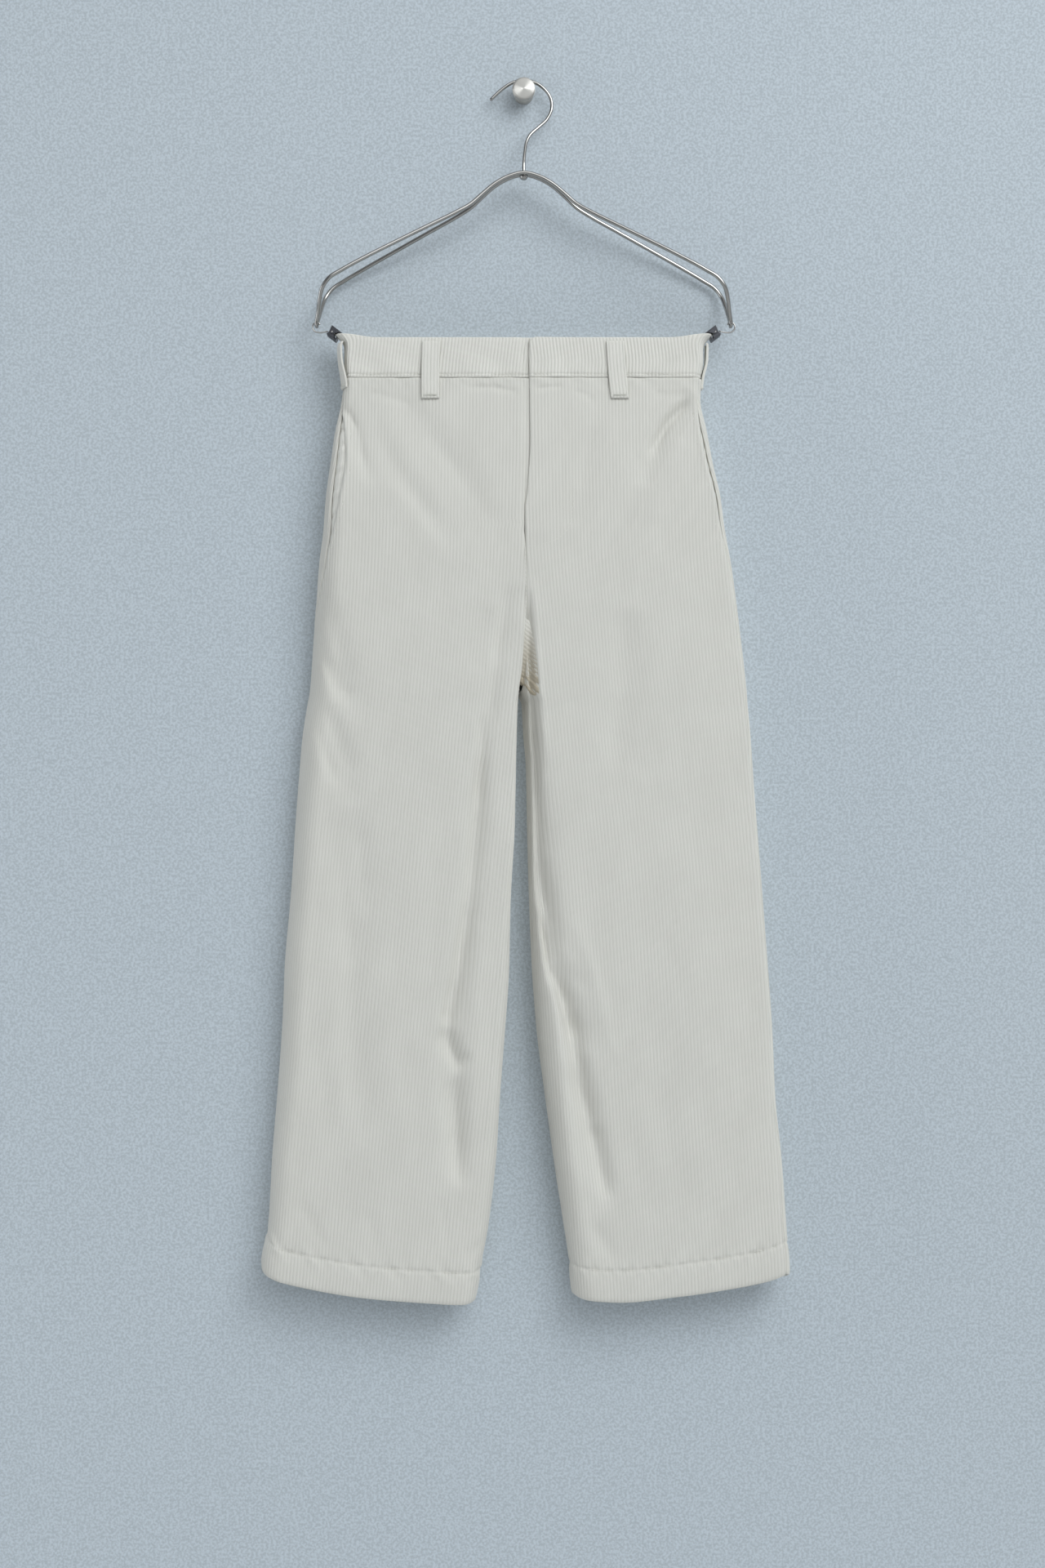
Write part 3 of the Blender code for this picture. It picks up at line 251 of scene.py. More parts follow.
# The creases that only the finished cloth has, as rows like those of the folds: mostly sharper ones, and some
# broad ones that deepen the solids' folds
CREASES = [Fold(FRONT, *row) for row in (
    (8, -470, 14, -560, 18, -640, 3.2, 1.8), (17, -600, 20, -680, 22, -760, 3.2, 1.6),
    (5, -484, 8, -560, 11, -640, 3.8, -7.0), (10, -585, 12.5, -680, 14, -790, 4.5, -8.0),
    (15, -740, 20, -800, 28, -860, 5.0, -7.0), (-1, -500, -3.5, -560, -8, -640, 3.0, 0.6),
    (-7, -620, -9, -700, -12, -800, 3.0, 1.2), (-168, -301, -150, -336, -123, -389, 8, -1.5),
    (-133, -288, -94, -358, -32, -435, 15, -1.8), (-155, -318, -124, -384, -76, -461, 14, 0.7),
    (157, -305, 139, -323, 122, -355, 4, -3.2), (170, -315, 150, -335, 132, -373, 8, 1.0),
    (76, -296, 62, -342, 51, -389, 8, -1.1), (-186, -500, -174, -550, -162, -600, 11, -2.2),
    (-168, -512, -154, -547, -143, -574, 10, 0.3), (-191, -585, -176, -636, -160, -690, 11, -2.2),
    (-171, -596, -156, -632, -141, -659, 10, 0.3), (-159, -690, -151, -744, -150, -791, 9, -2.4),
    (-13, -480, -23, -543, -31, -620, 7, -3.2), (-38, -600, -38, -640, -40, -690, 6, -3.0),
    (-38, -640, -43, -729, -50, -800, 8.5, -5.2), (-48, -783, -57, -837, -70, -897, 8, -5.4),
    (-72, -879, -66, -918, -58, -937, 7, -3.6), (-61, -922, -61, -984, -60, -1050, 8, -5.2),
    (-34, -775, -46, -852, -51, -930, 8, 1.3), (-48, -914, -49, -984, -52, -1053, 8, 1.0),
    (18, -667, 19, -736, 29, -806, 5.0, -7.0), (23, -791, 33, -850, 52, -910, 7.5, -7.0),
    (33, -837, 48, -849, 62, -863, 6, -1.5), (45, -885, 58, -945, 72, -1010, 8, -6.2),
    (67, -991, 75, -1022, 81, -1061, 7, -5.0), (45, -791, 67, -852, 85, -930, 7, 1.8),
    (20, -837, 33, -899, 50, -984, 8, 1.2), (100, -500, 93, -566, 84, -655, 15, -1.4),
    (-157, -791, -163, -891, -150, -1007, 14, -2.2), (-199, -883, -188, -953, -179, -1022, 11, -1.5),
    (-133, -837, -125, -930, -112, -1038, 14, 1.4), (-94, -698, -100, -814, -109, -930, 14, 1.9),
    (122, -945, 138, -1007, 161, -1076, 12, -1.1), (92, -976, 107, -1030, 122, -1084, 11, -0.9),
    (-213, -1061, -199, -1084, -188, -1107, 6, -1.3), (-151, -1069, -143, -1088, -139, -1111, 7, -1.2),
    (-78, -1061, -74, -1084, -72, -1115, 6, -1.2), (-246, -1082, -239, -1094, -231, -1106, 3, -2.4),
    (-247, -1092, -242, -1102, -237, -1112, 3, 1.4), (-38, -1102, -47, -1108, -57, -1114, 3, -1.8),
    (-55, -291, -29, -291, -4, -296, 2.4, -1.4), (10, -293, 24, -291, 37, -290, 2.2, -1.2),
    (45, -294, 58, -298, 68, -304, 2.6, -1.1), (-148, -296, -125, -301, -106, -308, 3, -1.2),
    (122, -296, 139, -299, 158, -296, 2.6, -1.2), (-174, -309, -164, -317, -157, -332, 2.6, -2.2),
    (-150, -322, -116, -378, -70, -438, 9, -2.0), (157, -300, 134, -326, 117, -356, 5, -2.2),
    (-193, -530, -185, -556, -175, -586, 7, -3.2), (-198, -604, -188, -634, -176, -668, 7, -3.2),
    (-176, -690, -162, -815, -158, -975, 15, -3.2), (-30, -560, -46, -730, -62, -850, 9, -3.0),
    (-66, -850, -72, -930, -71, -1040, 9, -3.0), (14, -620, 22, -740, 33, -840, 7, -4.0),
    (36, -850, 51, -940, 66, -1050, 9, -3.6), (97, -500, 96, -590, 86, -700, 12, -1.8),
    (-96, -330, -60, -376, -24, -424, 8, -1.7), (-157, -330, -153, -346, -150, -366, 3.4, -1.0),
)] + [Fold(BACK, *row) for row in (
    (-120, -300, -104, -330, -80, -372, 6, -2.0), (126, -302, 104, -340, 84, -376, 6, -2.2),
    (-24, -520, -40, -562, -58, -600, 6, -3.0), (20, -520, 34, -560, 52, -604, 6, -3.0),
    (-62, -780, -72, -860, -66, -930, 6, -3.4), (66, -730, 72, -800, 82, -870, 6, -3.2),
    (84, -900, 92, -950, 98, -1010, 6, -2.8), (-84, -950, -92, -1000, -90, -1060, 6, -2.8),
)]

# Points in a row that lengths and places are read from, and the share of a half's run that each turn takes
DENSE = 160
TURN_SHARE = 0.25


def cubic(t, length, first, last, first_slope, last_slope):
    """A cubic over a stretch of some length, from its values and its slopes at both ends."""
    start = first * (1 + 2 * t) * (1 - t) ** 2 + last * t**2 * (3 - 2 * t)
    return start + length * (first_slope * t * (1 - t) ** 2 + last_slope * t**2 * (t - 1))


def smooth_column(levels, values):
    """A monotone cubic through a table's column, so that no value passes its neighbours."""
    levels = np.asarray(levels, float)
    values = np.asarray(values, float)
    step = np.diff(levels)
    rise = np.diff(values) / step
    weight_a = 2 * step[1:] + step[:-1]
    weight_b = step[1:] + 2 * step[:-1]
    with np.errstate(divide="ignore", invalid="ignore"):
        mean = (weight_a + weight_b) / (weight_a / rise[:-1] + weight_b / rise[1:])
    slope = np.concatenate([rise[:1], np.where(rise[:-1] * rise[1:] > 0, mean, 0), rise[-1:]])

    def read(at):
        at = np.clip(np.asarray(at, float), levels[0], levels[-1])
        i = np.clip(np.searchsorted(levels, at) - 1, 0, len(step) - 1)
        t = (at - levels[i]) / step[i]
        return cubic(t, step[i], values[i], values[i + 1], slope[i], slope[i + 1])

    return read


def table_of(rows, name, unit=MM):
    """A smooth function of z, in metres, from one column of a table that runs downwards."""
    rising = rows[::-1]
    return smooth_column([row.z * MM for row in rising], [getattr(row, name) * unit for row in rising])


COLUMNS = {name: table_of(SECTIONS, name, 1 if name == "lean" else MM) for name in Section._fields[1:]}
HEM_OF = {
    side: smooth_column([row.share for row in HEMS], [getattr(row, name) * MM for row in HEMS])
    for name, side in SIDES.items()
}


def ease(value, start, end):
    """Runs smoothly from 0 at start to 1 at end, whichever of the two is the greater."""
    t = np.clip((value - start) / (end - start), 0, 1)
    return t * t * (3 - 2 * t)


def bell(distance, width):
    """1 at no distance, falling away smoothly over the width."""
    return np.exp(-((distance / width) ** 2))


def inner_edge(side, z):
    """The x of a leg's inner edge at mid-depth, the length of its turn, and how far the edge lies past the
    centre plane, which it does above the crotch, where the centre seam cuts the turn off."""
    turn = COLUMNS["inner_round"](z)
    share = np.clip((z - CROTCH) / (VALLEY_TOP - CROTCH), 0, 1)
    past = turn * share**VALLEY_CURVE
    edge = COLUMNS["centre"](z) + side * (COLUMNS[SIDE_NAMES[side] + "_gap"](z) - past)
    return edge, turn, past


def half_form(side, z, along, inset):
    """A place on one half of the garment, before folds and lean. along runs from 0 at the side to 1 at the
    inner edge over the front, and to -1 over the back. inset is the depth below the cloth's outer face.
    The third value is how squarely the cloth faces the front or back there."""
    outer_x = side * COLUMNS[SIDE_NAMES[side] + "_side"](z)
    side_turn = COLUMNS["side_round"](z)
    inner_x, inner_turn, past = inner_edge(side, z)
    depth = np.where(along >= 0, COLUMNS["front"](z), COLUMNS["back"](z))
    t = np.abs(along)
    side_angle = np.clip(t / TURN_SHARE, 0, 1) * math.pi / 2
    last_angle = np.arccos(np.clip(1 - past / inner_turn, 0, 1))
    inner_share = np.clip((1 - t) / TURN_SHARE, 0, 1)
    inner_angle = last_angle + (math.pi / 2 - last_angle) * inner_share
    flat_start = outer_x - side * side_turn
    flat_end = inner_x + side * inner_turn
    flat_share = np.clip((t - TURN_SHARE) / (1 - 2 * TURN_SHARE), 0, 1)
    x = flat_start + (flat_end - flat_start) * flat_share
    at_side = t < TURN_SHARE
    at_inner = t > 1 - TURN_SHARE
    x = np.where(at_side, flat_start + side * (side_turn - inset) * np.cos(side_angle), x)
    x = np.where(at_inner, flat_end - side * (inner_turn - inset) * np.cos(inner_angle), x)
    turned = np.where(at_side, np.sin(side_angle), np.where(at_inner, np.sin(inner_angle), 1.0))
    half = np.abs(outer_x - inner_x) / 2
    across = np.clip((x - (outer_x + inner_x) / 2) / half, -1, 1)
    crown = 1 - CROWN * across**2 * ease(z, WAIST_SEAM, CROTCH)
    y = MID_DEPTH - np.where(along >= 0, 1, -1) * (depth * crown - inset) * turned
    return x, y, turned


def form(side, z, along, inset):
    """A place as half_form gives it. An along over 1 lies past the centre, on the other half."""
    own = half_form(side, z, np.clip(along, -1, 1), inset)
    past = np.abs(along) > 1
    if not past.any():
        return own
    beyond = np.where(past, np.sign(along) * (2 - np.abs(along)), 1)
    return [np.where(past, b, a) for a, b in zip(own, half_form(-side, z, beyond, inset))]


def fold_height(face, x, z):
    """How far the folds move the cloth out at a place on the front or the back."""
    height = np.zeros(np.broadcast(x, z).shape)
    for fold in FOLDS + CREASES:
        if fold.face != face:
            continue
        points = np.array([(fold.x0, fold.z0), (fold.x1, fold.z1), (fold.x2, fold.z2)]) * MM
        nearest = np.full(height.shape, np.inf)
        place = np.zeros(height.shape)
        for i in range(2):
            run = points[i + 1] - points[i]
            t = ((x - points[i][0]) * run[0] + (z - points[i][1]) * run[1]) / (run @ run)
            t = np.clip(t, 0, 1)
            off = np.hypot(x - points[i][0] - t * run[0], z - points[i][1] - t * run[1])
            place = np.where(off < nearest, (i + t) / 2, place)
            nearest = np.minimum(off, nearest)
        taper = 1 - (2 * place - 1) ** 4
        height = height + fold.height * MM * taper * bell(nearest, fold.width * MM)
    return height


def covering(over, offset, lift, sink):
    """The height of an edge that lies over the other at the centre front, or of the one that lies under."""
    lifted = lift * bell(np.maximum(offset - OVERLAP_EDGE, 0), LIFT_REACH)
    if over:
        return lifted
    sunk = -sink * ease(offset, RAMP_START, RAMP_END)
    return np.where(offset >= OVERLAP_EDGE, lifted - lift - sink, sunk)


def fly_height(over, x, z):
    """The height that the fly gives to the front that lies over, or to the one that lies under."""
    return covering(over, x - COLUMNS["centre"](z), FLY_LIFT, FLY_SINK) * ease(z, FLY_FLAT, FLY_SEAM_START)


def fly_behind(x, z):
    """The height of what lies behind both fronts: as deep as the one that lies under, without its ramp."""
    offset = np.maximum(x - COLUMNS["centre"](z), OVERLAP_EDGE)
    return covering(False, offset, FLY_LIFT, FLY_SINK)


def band_height(over, x, z):
    """The height that the overlap gives to the band's end that lies over, or to the one that lies under."""
    return covering(over, x - COLUMNS["centre"](z), BAND_LIFT, BAND_SINK)


# The left side lies over the right one
FLY = {side: partial(fly_height, side == LEFT) for side in SIDE_NAMES}
BAND = {side: partial(band_height, side == LEFT) for side in SIDE_NAMES}


def corner_nearness(side, x, z):
    """1 at the waist's side, falling away along the front and the back."""
    reach = COLUMNS[SIDE_NAMES[side] + "_side"](z) - side * x
    return bell(np.maximum(reach, 0), CORNER_REACH)


def leaned(x, y, z):
    """The x of a place after the back's lean, which grows with the depth."""
    return x - COLUMNS["lean"](z) * (y - MID_DEPTH)


def cloth_point(side, z, along, inset, overlap=None):
    """A point of the cloth, with its folds, its overlap and the clips' pull."""
    z = np.asarray(z, float)
    along = np.asarray(along, float)
    x, y, turned = form(side, z, along, inset)
    seen_x = leaned(x, y, z)
    on_front = along >= 0
    height = np.where(on_front, fold_height(FRONT, seen_x, z), fold_height(BACK, seen_x, z)) * turned
    if overlap:
        height = height + np.where(on_front, overlap(x, z), 0)
    y = y - np.where(on_front, 1, -1) * height
    lifted = np.clip((z - CORNER_START) / CORNER_HEIGHT, 0, CORNER_MOST) ** 3
    x = x + side * CORNER_PULL * lifted * corner_nearness(side, x, z)
    return np.stack(np.broadcast_arrays(leaned(x, y, z), y, z), axis=-1)


def outline(side, z, places):
    """x and y of the cloth's outer face before folds, with the lean."""
    x, y, _ = form(side, z, places, 0.0)
    return leaned(x, y, z), y


def run_length(side, z, places):
    """How far each of a row of places lies along the cloth from the first one."""
    x, y = outline(side, z, places)
    return np.concatenate([[0], np.cumsum(np.hypot(np.diff(x), np.diff(y)))])


def place_by_distance(side, z, distance):
    """The place that lies a distance along the front from the side's middle, or along the back below 0."""
    way = 1 if distance >= 0 else -1
    dense = way * np.linspace(0, 1 - TURN_SHARE, DENSE)
    return float(np.interp(abs(distance), run_length(side, z, dense), dense))


def place_at_x(side, z, x, face=FRONT):
    """The place on a half's front or back that has the given x before the lean."""
    if (x - COLUMNS["centre"](z)) * side < 0:
        return face * 2 - place_at_x(-side, z, x, face)
    dense = np.linspace(TURN_SHARE / 2, 1, DENSE)
    across, _, _ = half_form(side, z, dense * face, 0.0)
    order = np.argsort(across, kind="stable")
    return face * float(np.interp(x, across[order], dense[order]))


def seam_distance(side, z):
    """How far in front of the side's middle the side seam runs."""
    spread = float(ease(z, SEAM_SPREAD_START, SEAM_SPREAD_END))
    upper = SEAM_FORWARD[side] * (SEAM_WAIST_SHARE + (1 - SEAM_WAIST_SHARE) * spread)
    turned = float(ease(z, SEAM_TURN_START, SEAM_TURN_END[side]))
    return upper + (SEAM_LOW[side] - upper) * turned


def pocket_gape(side, z):
    """How far the pocket's front edge stands back from the side seam."""
    share = float(np.clip((z - POCKET_BOTTOM) / (POCKET_TOP - POCKET_BOTTOM), 0, 1))
    return POCKET_GAPE[side] * math.sin(math.pi * share**POCKET_SKEW) ** POCKET_FULLNESS


def centre_edge(side, z):
    """The place of a front's centre edge: overlapped down the fly, then at the centre seam."""
    if z < FLY_SEAM_START:
        return 1.0
    straight_end = FLY_DRAWN_END if side == LEFT else FLY_STRAIGHT_END
    closed = float(ease(z, straight_end, FLY_SEAM_START))
    reach = OVERLAP_EDGE if side == LEFT else FLY_UNDERLAP
    offset = reach * (1 - closed) + side * HALF_GAP * closed
    return place_at_x(side, z, float(COLUMNS["centre"](z)) + offset)


def lengths_along(points):
    """How far each of a line's points lies along it from the first one."""
    return np.concatenate([[0], np.cumsum(np.linalg.norm(np.diff(points, axis=0), axis=1))])


def smooth_path(points, steps):
    """Points along a smooth curve through the given ones, with steps points to each stretch."""
    points = np.array(points, float)
    length = lengths_along(points)
    slope = np.gradient(points, length, axis=0)
    t = (np.arange(steps) / steps)[:, None]
    path = [
        cubic(t, stretch, points[i], points[i + 1], slope[i], slope[i + 1])
        for i, stretch in enumerate(np.diff(length))
    ]
    return np.vstack([*path, points[-1:]])


# Corduroy
WALE_PITCH = 3.2 * MM
WALE_SAMPLES = 4
WALE_HEIGHT = 0.64 * MM
WALE_SINK = 0.42 * MM
WALE_EDGE = 1.0 * MM
# Where a row is rounded off, its wales flatten over this depth, down to this share of their height
WALE_ROUNDING = 0.25 * MM
WALE_LEAST = 0.25
# The reverse has a column for each wale, and takes this share of a seam's dip
INNER_STEP = 4
INNER_DIP = 0.3
SHARP_CLOTH = math.radians(75)
# Points that lie closer than this are one, and shorter edges go
MERGE_REACH = 2e-6
LEAST_EDGE = 1e-6
LAY_POINTS = 240
# A folded edge is rounded off up to this angle, in degrees, just short of its tip
RIM_END = 88

# A piece's side edge: the gap there, and how deep and how far it sinks into the seam or rounds off
Edge = namedtuple("Edge", "gap depth width")
SEAM_EDGE = Edge(HALF_GAP, 0.8 * MM, 1.5 * MM)
FREE_EDGE = Edge(HALF_GAP, 0.7 * MM, 0.9 * MM)
CENTRE_EDGE = Edge(0.02 * MM, 0.12 * MM, 0.8 * MM)

# The x that the wales follow down each half, in millimetres
Grain = namedtuple("Grain", "z right left")
GRAIN = [Grain(*row) for row in (
    (-239, -85, 85),
    (-282, -85, 85),
    (-430, -87, 87),
    (-520, -92, 94),
    (-640, -103, 106),
    (-760, -115, 117),
    (-880, -127, 125),
    (-1000, -138, 132),
    (-1160, -152, 142),
)]

Lay = namedtuple("Lay", "side levels start end shares lengths grain")
Grid = namedtuple("Grid", "outer inner u v pick")


def rows_at(levels, columns):
    """The levels as the rows of a grid with a number of columns."""
    return np.repeat(levels[:, None], columns, axis=1)


def lay_out(side, levels, start, end, grain_x):
    """Tables for a piece of cloth: at each level, the lengths along it from its start to its end, and the
    length at which the grain line, which the wales follow, crosses that level."""
    shares = np.linspace(0, 1, LAY_POINTS)
    places = start[:, None] + (end - start)[:, None] * shares
    x, y = outline(side, levels[:, None], places)
    steps = np.hypot(np.diff(x, axis=1), np.diff(y, axis=1))
    lengths = np.hstack([np.zeros((len(levels), 1)), np.cumsum(steps, axis=1)])
    grain = np.zeros(len(levels))
    for n in range(len(levels)):
        order = np.argsort(x[n], kind="stable")
        grain[n] = np.interp(grain_x[n], x[n][order], lengths[n][order])
    return Lay(side, levels, start, end, shares, lengths, grain)


def at_level(lay, values, z):
    return np.interp(-z, -lay.levels, values)


def places_at(lay, z, length):
    """The places of points at the given heights and lengths along the cloth."""
    level = np.searchsorted(-lay.levels, -z, side="right") - 1
    level = np.clip(level, 0, len(lay.levels) - 2)
    below = (lay.levels[level] - z) / (lay.levels[level] - lay.levels[level + 1])
    share = np.zeros(z.shape)
    for n in np.unique(level):
        here = level == n
        first = np.interp(length[here], lay.lengths[n], lay.shares)
        second = np.interp(length[here], lay.lengths[n + 1], lay.shares)
        t = np.clip(below[here], 0, 1)
        share[here] = first * (1 - t) + second * t
    start = at_level(lay, lay.start, z)
    end = at_level(lay, lay.end, z)
    return start + (end - start) * share


def edge_dip(edge, distance):
    """How far the cloth sinks at a seam or rounds off at a free edge."""
    return edge.depth * bell(distance, edge.width)


def ridge(s):
    """A wale's profile: 1 on its crest and 0 in the groove beside it."""
    return np.sqrt(np.abs(np.cos(math.pi * s / WALE_PITCH)))


def rim(thickness, count):
    """Rows that round off a folded edge: each one's distance from the edge and its extra inset."""
    angles = np.radians(np.linspace(0, RIM_END, count + 1)[1:])
    return thickness / 2 * (1 - np.stack([np.sin(angles), np.cos(angles)], axis=-1))


def wale_columns(lay):
    """Distances of the mesh's columns from the grain line, four to a wale."""
    step = WALE_PITCH / WALE_SAMPLES
    low = math.floor(np.min(-lay.grain) / WALE_PITCH) * WALE_SAMPLES
    high = math.ceil(np.max(lay.lengths[:, -1] - lay.grain) / WALE_PITCH) * WALE_SAMPLES
    return np.arange(low, high + 1) * step


# The right front's fold beside the fork: the x of its crisp edge at drops below the peg, in millimetres, how
# softly the cloth turns there, and the place from which it does so
FOLD_EDGE = (
    (480, 14.0), (500, 4.2), (515, 1.2), (527, 0.0), (551, -1.7), (560, -2.4), (571, -4.2), (583, -5.6),
)
FOLD_EDGE_DROP, FOLD_EDGE_X = np.array(FOLD_EDGE).T * MM
FOLD_EDGE_BLEND = 0.5 * MM
FOLD_EDGE_FROM = 0.6
SAFE_POWER = 40


def drawn_point(side, z, places, inset, overlap=None):
    """A point of the cloth as cloth_point gives it. The right front's fold beside the fork keeps to a crisp
    edge: what lies past it goes straight back."""
    points = cloth_point(side, z, places, inset, overlap)
    if side == RIGHT:
        edge = np.interp(-np.asarray(z), FOLD_EDGE_DROP, FOLD_EDGE_X) - inset
        past = np.clip((points[..., 0] - edge) / FOLD_EDGE_BLEND, -SAFE_POWER, SAFE_POWER)
        drawn = np.minimum(points[..., 0], edge - FOLD_EDGE_BLEND * np.log(1 + np.exp(-past)))
        points[..., 0] = np.where(np.asarray(places) > FOLD_EDGE_FROM, drawn, points[..., 0])
    return points


def corduroy_grid(lay, s, z, inset, thickness, edges, overlap, detail):
    """Points of a piece whose columns follow the wales and stop at its side edges. inset is the rounding
    of its top and bottom rows, and detail gives further inset at points of the cloth."""
    length = at_level(lay, lay.grain, z) + s
    total = at_level(lay, lay.lengths[:, -1], z)
    length = np.clip(length, edges[0].gap, total - edges[1].gap)
    from_start = length - edges[0].gap
    from_end = total - edges[1].gap - length
    places = places_at(lay, z, length)
    dip = edge_dip(edges[0], from_start) + edge_dip(edges[1], from_end)
    near = np.clip(np.minimum(from_start, from_end) / WALE_EDGE, 0, 1)
    flat = np.clip(1 - inset / WALE_ROUNDING, WALE_LEAST, 1)
    relief = WALE_SINK - WALE_HEIGHT * ridge(s) * near * flat + detail(lay, places, z, from_start, from_end)
    outer = drawn_point(lay.side, z, places, relief + dip + inset, overlap)
    pick = np.arange(0, len(s), INNER_STEP)
    inner_inset = thickness - inset[:, pick] - INNER_DIP * dip[:, pick]
    inner = drawn_point(lay.side, z[:, pick], places[:, pick], inner_inset, overlap)
    return Grid(outer, inner, np.broadcast_to(s / WALE_PITCH, z.shape), -z / WALE_PITCH, pick)


def quads(index):
    """Faces over a grid of point numbers."""
    corners = (index[:-1, :-1], index[:-1, 1:], index[1:, 1:], index[1:, :-1])
    return np.stack([corner.ravel() for corner in corners], axis=-1).tolist()


def cloth_mesh(name, grid, materials, slot_name, *nodes):
    """A closed mesh from a grid, with the wales as its texture map, which stands for the given nodes."""
    rows, columns, _ = grid.outer.shape
    picked = len(grid.pick)
    front = np.arange(rows * columns).reshape(rows, columns)
    rear = rows * columns + np.arange(rows * picked).reshape(rows, picked)
    faces = quads(front) + [[a, d, c, b] for a, b, c, d in quads(rear)]
    for i, way in ((0, -1), (-1, 1)):
        for j in range(picked - 1):
            run = front[i, grid.pick[j] : grid.pick[j + 1] + 1].tolist()
            faces.append((run + [int(rear[i, j + 1]), int(rear[i, j])])[::way])
    for j, way in ((0, 1), (-1, -1)):
        for i in range(rows - 1):
            faces.append([int(front[i, j]), int(front[i + 1, j]), int(rear[i + 1, j]), int(rear[i, j])][::way])
    data = bpy.data.meshes.new(name)
    data.from_pydata(np.vstack([grid.outer.reshape(-1, 3), grid.inner.reshape(-1, 3)]).tolist(), [], faces)
    corner = np.zeros(len(data.loops), np.int32)
    data.loops.foreach_get("vertex_index", corner)
    grain = [np.concatenate([part.ravel(), part[:, grid.pick].ravel()])[corner] for part in (grid.u, grid.v)]
    data.uv_layers.new(name="grain").data.foreach_set("uv", np.stack(grain, axis=-1).ravel())
    outside = (rows - 1) * (columns - 1)
    data.polygons.foreach_set("material_index", [int(n >= outside) for n in range(len(data.polygons))])
    tidy_mesh(data)
    data.shade_smooth()
    data.set_sharp_from_angle(angle=SHARP_CLOTH)
    return link_piece(name, data, materials[:2], slot_name, *nodes)


def tidy_mesh(data):
    """Joins the columns that stop at an edge, and turns every face out."""
    mesh = bmesh.new()
    mesh.from_mesh(data)
    bmesh.ops.remove_doubles(mesh, verts=mesh.verts, dist=MERGE_REACH)
    bmesh.ops.dissolve_degenerate(mesh, edges=mesh.edges, dist=LEAST_EDGE)
    bmesh.ops.recalc_face_normals(mesh, faces=mesh.faces)
    mesh.to_mesh(data)
    mesh.free()


def add_object(name, data):
    obj = bpy.data.objects.new(name, data)
    bpy.context.scene.collection.objects.link(obj)
    return obj


def link_piece(name, data, materials, slot_name, *nodes):
    """Adds a piece with its finish, which rides on the body and stands for the given nodes."""
    obj = add_object(name, data)
    for material in materials:
        data.materials.append(material)
    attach(obj, "root")
    if nodes:
        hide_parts(*nodes)
    return obj


# The panels: rows below the waist seam and beside the hem's stitches, in millimetres, the rounding of the
# first rows, and the steps between the others
PANEL_LEVELS = MM * np.concatenate(
    [np.arange(-281.0, -578.5, -2.5), [-579.0, -579.5, -580.5], np.arange(-583, -1164, -4.0)]
)
PANEL_HEAD = (0, 0.5, 1.1, 2.0, 3.2, 4.6, 6.2, 7.8, 9.4, 11.2, 13.2, 15.4)
SEAM_ROUNDING = (0.5, 0.25, 0.08)
STITCH_ROWS = (4.2, 2.8, 1.8, 1.1, 0.5, 0, -0.5, -1.1, -1.8, -2.8, -4.2)
BODY_STEP = 3.4 * MM
LEG_STEP = 4.6 * MM
RIM_ROWS = 4
HEM_STITCH = 30.5 * MM
HEM_ROWS = 7
HEM_FOLD = 1.5 * MM

# The sunk line of a panel's hem stitches, the plump turn-up under it, and the welt beside the side seam
STITCH_DEPTH = 0.80 * MM
STITCH_REACH = 2.1 * MM
HEM_PLUMP = 0.7 * MM
HEM_PLUMP_PLACE = HEM_STITCH * 0.45
HEM_PLUMP_REACH = HEM_STITCH * 0.42
WELT_HEIGHT = 0.6 * MM
WELT_PLACE = 3.2 * MM
WELT_WIDTH = 2.2 * MM

# Puckers: the length in millimetres, lean, phase and share of each of their waves, how far from the hem's
# stitches they reach, and the smaller ones that gather the cloth under the waist seam
PUCKERS = ((31.0, 1.2, 0.4, 0.5), (17.5, 0.9, 2.2, 0.45), (11.3, -0.7, 4.0, 0.3), (53.0, 0.4, 1.1, 0.5))
PUCKER_HEIGHT = 0.80 * MM
PUCKER_REACH = 9 * MM
PUCKER_SHIFT = 40 * MM
GATHER = 0.7
GATHER_STRETCH = 0.8
GATHER_SHIFT = 20 * MM

# Slow, shallow waves of the cloth, their heights in millimetres
Wave = namedtuple("Wave", "across down phase height")
WAVES = [Wave(*row) for row in (
    (2.1, 1.3, 0.3, 0.22),
    (-3.4, 1.7, 1.9, 0.14),
    (5.2, 0.7, 4.1, 0.09),
    (1.2, -2.9, 2.7, 0.08),
    (7.3, 2.6, 5.5, 0.05),
)]
WAVE_SPREAD = 6
WAVE_DROP = 0.1
WAVE_TURN = 0.7


def rounded_rows(z):
    """The inset of a grid's rows, with its first rows rounded into the waist seam."""
    inset = np.zeros(z.shape)
    inset[: len(SEAM_ROUNDING)] += np.array(SEAM_ROUNDING)[:, None] * MM
    return inset


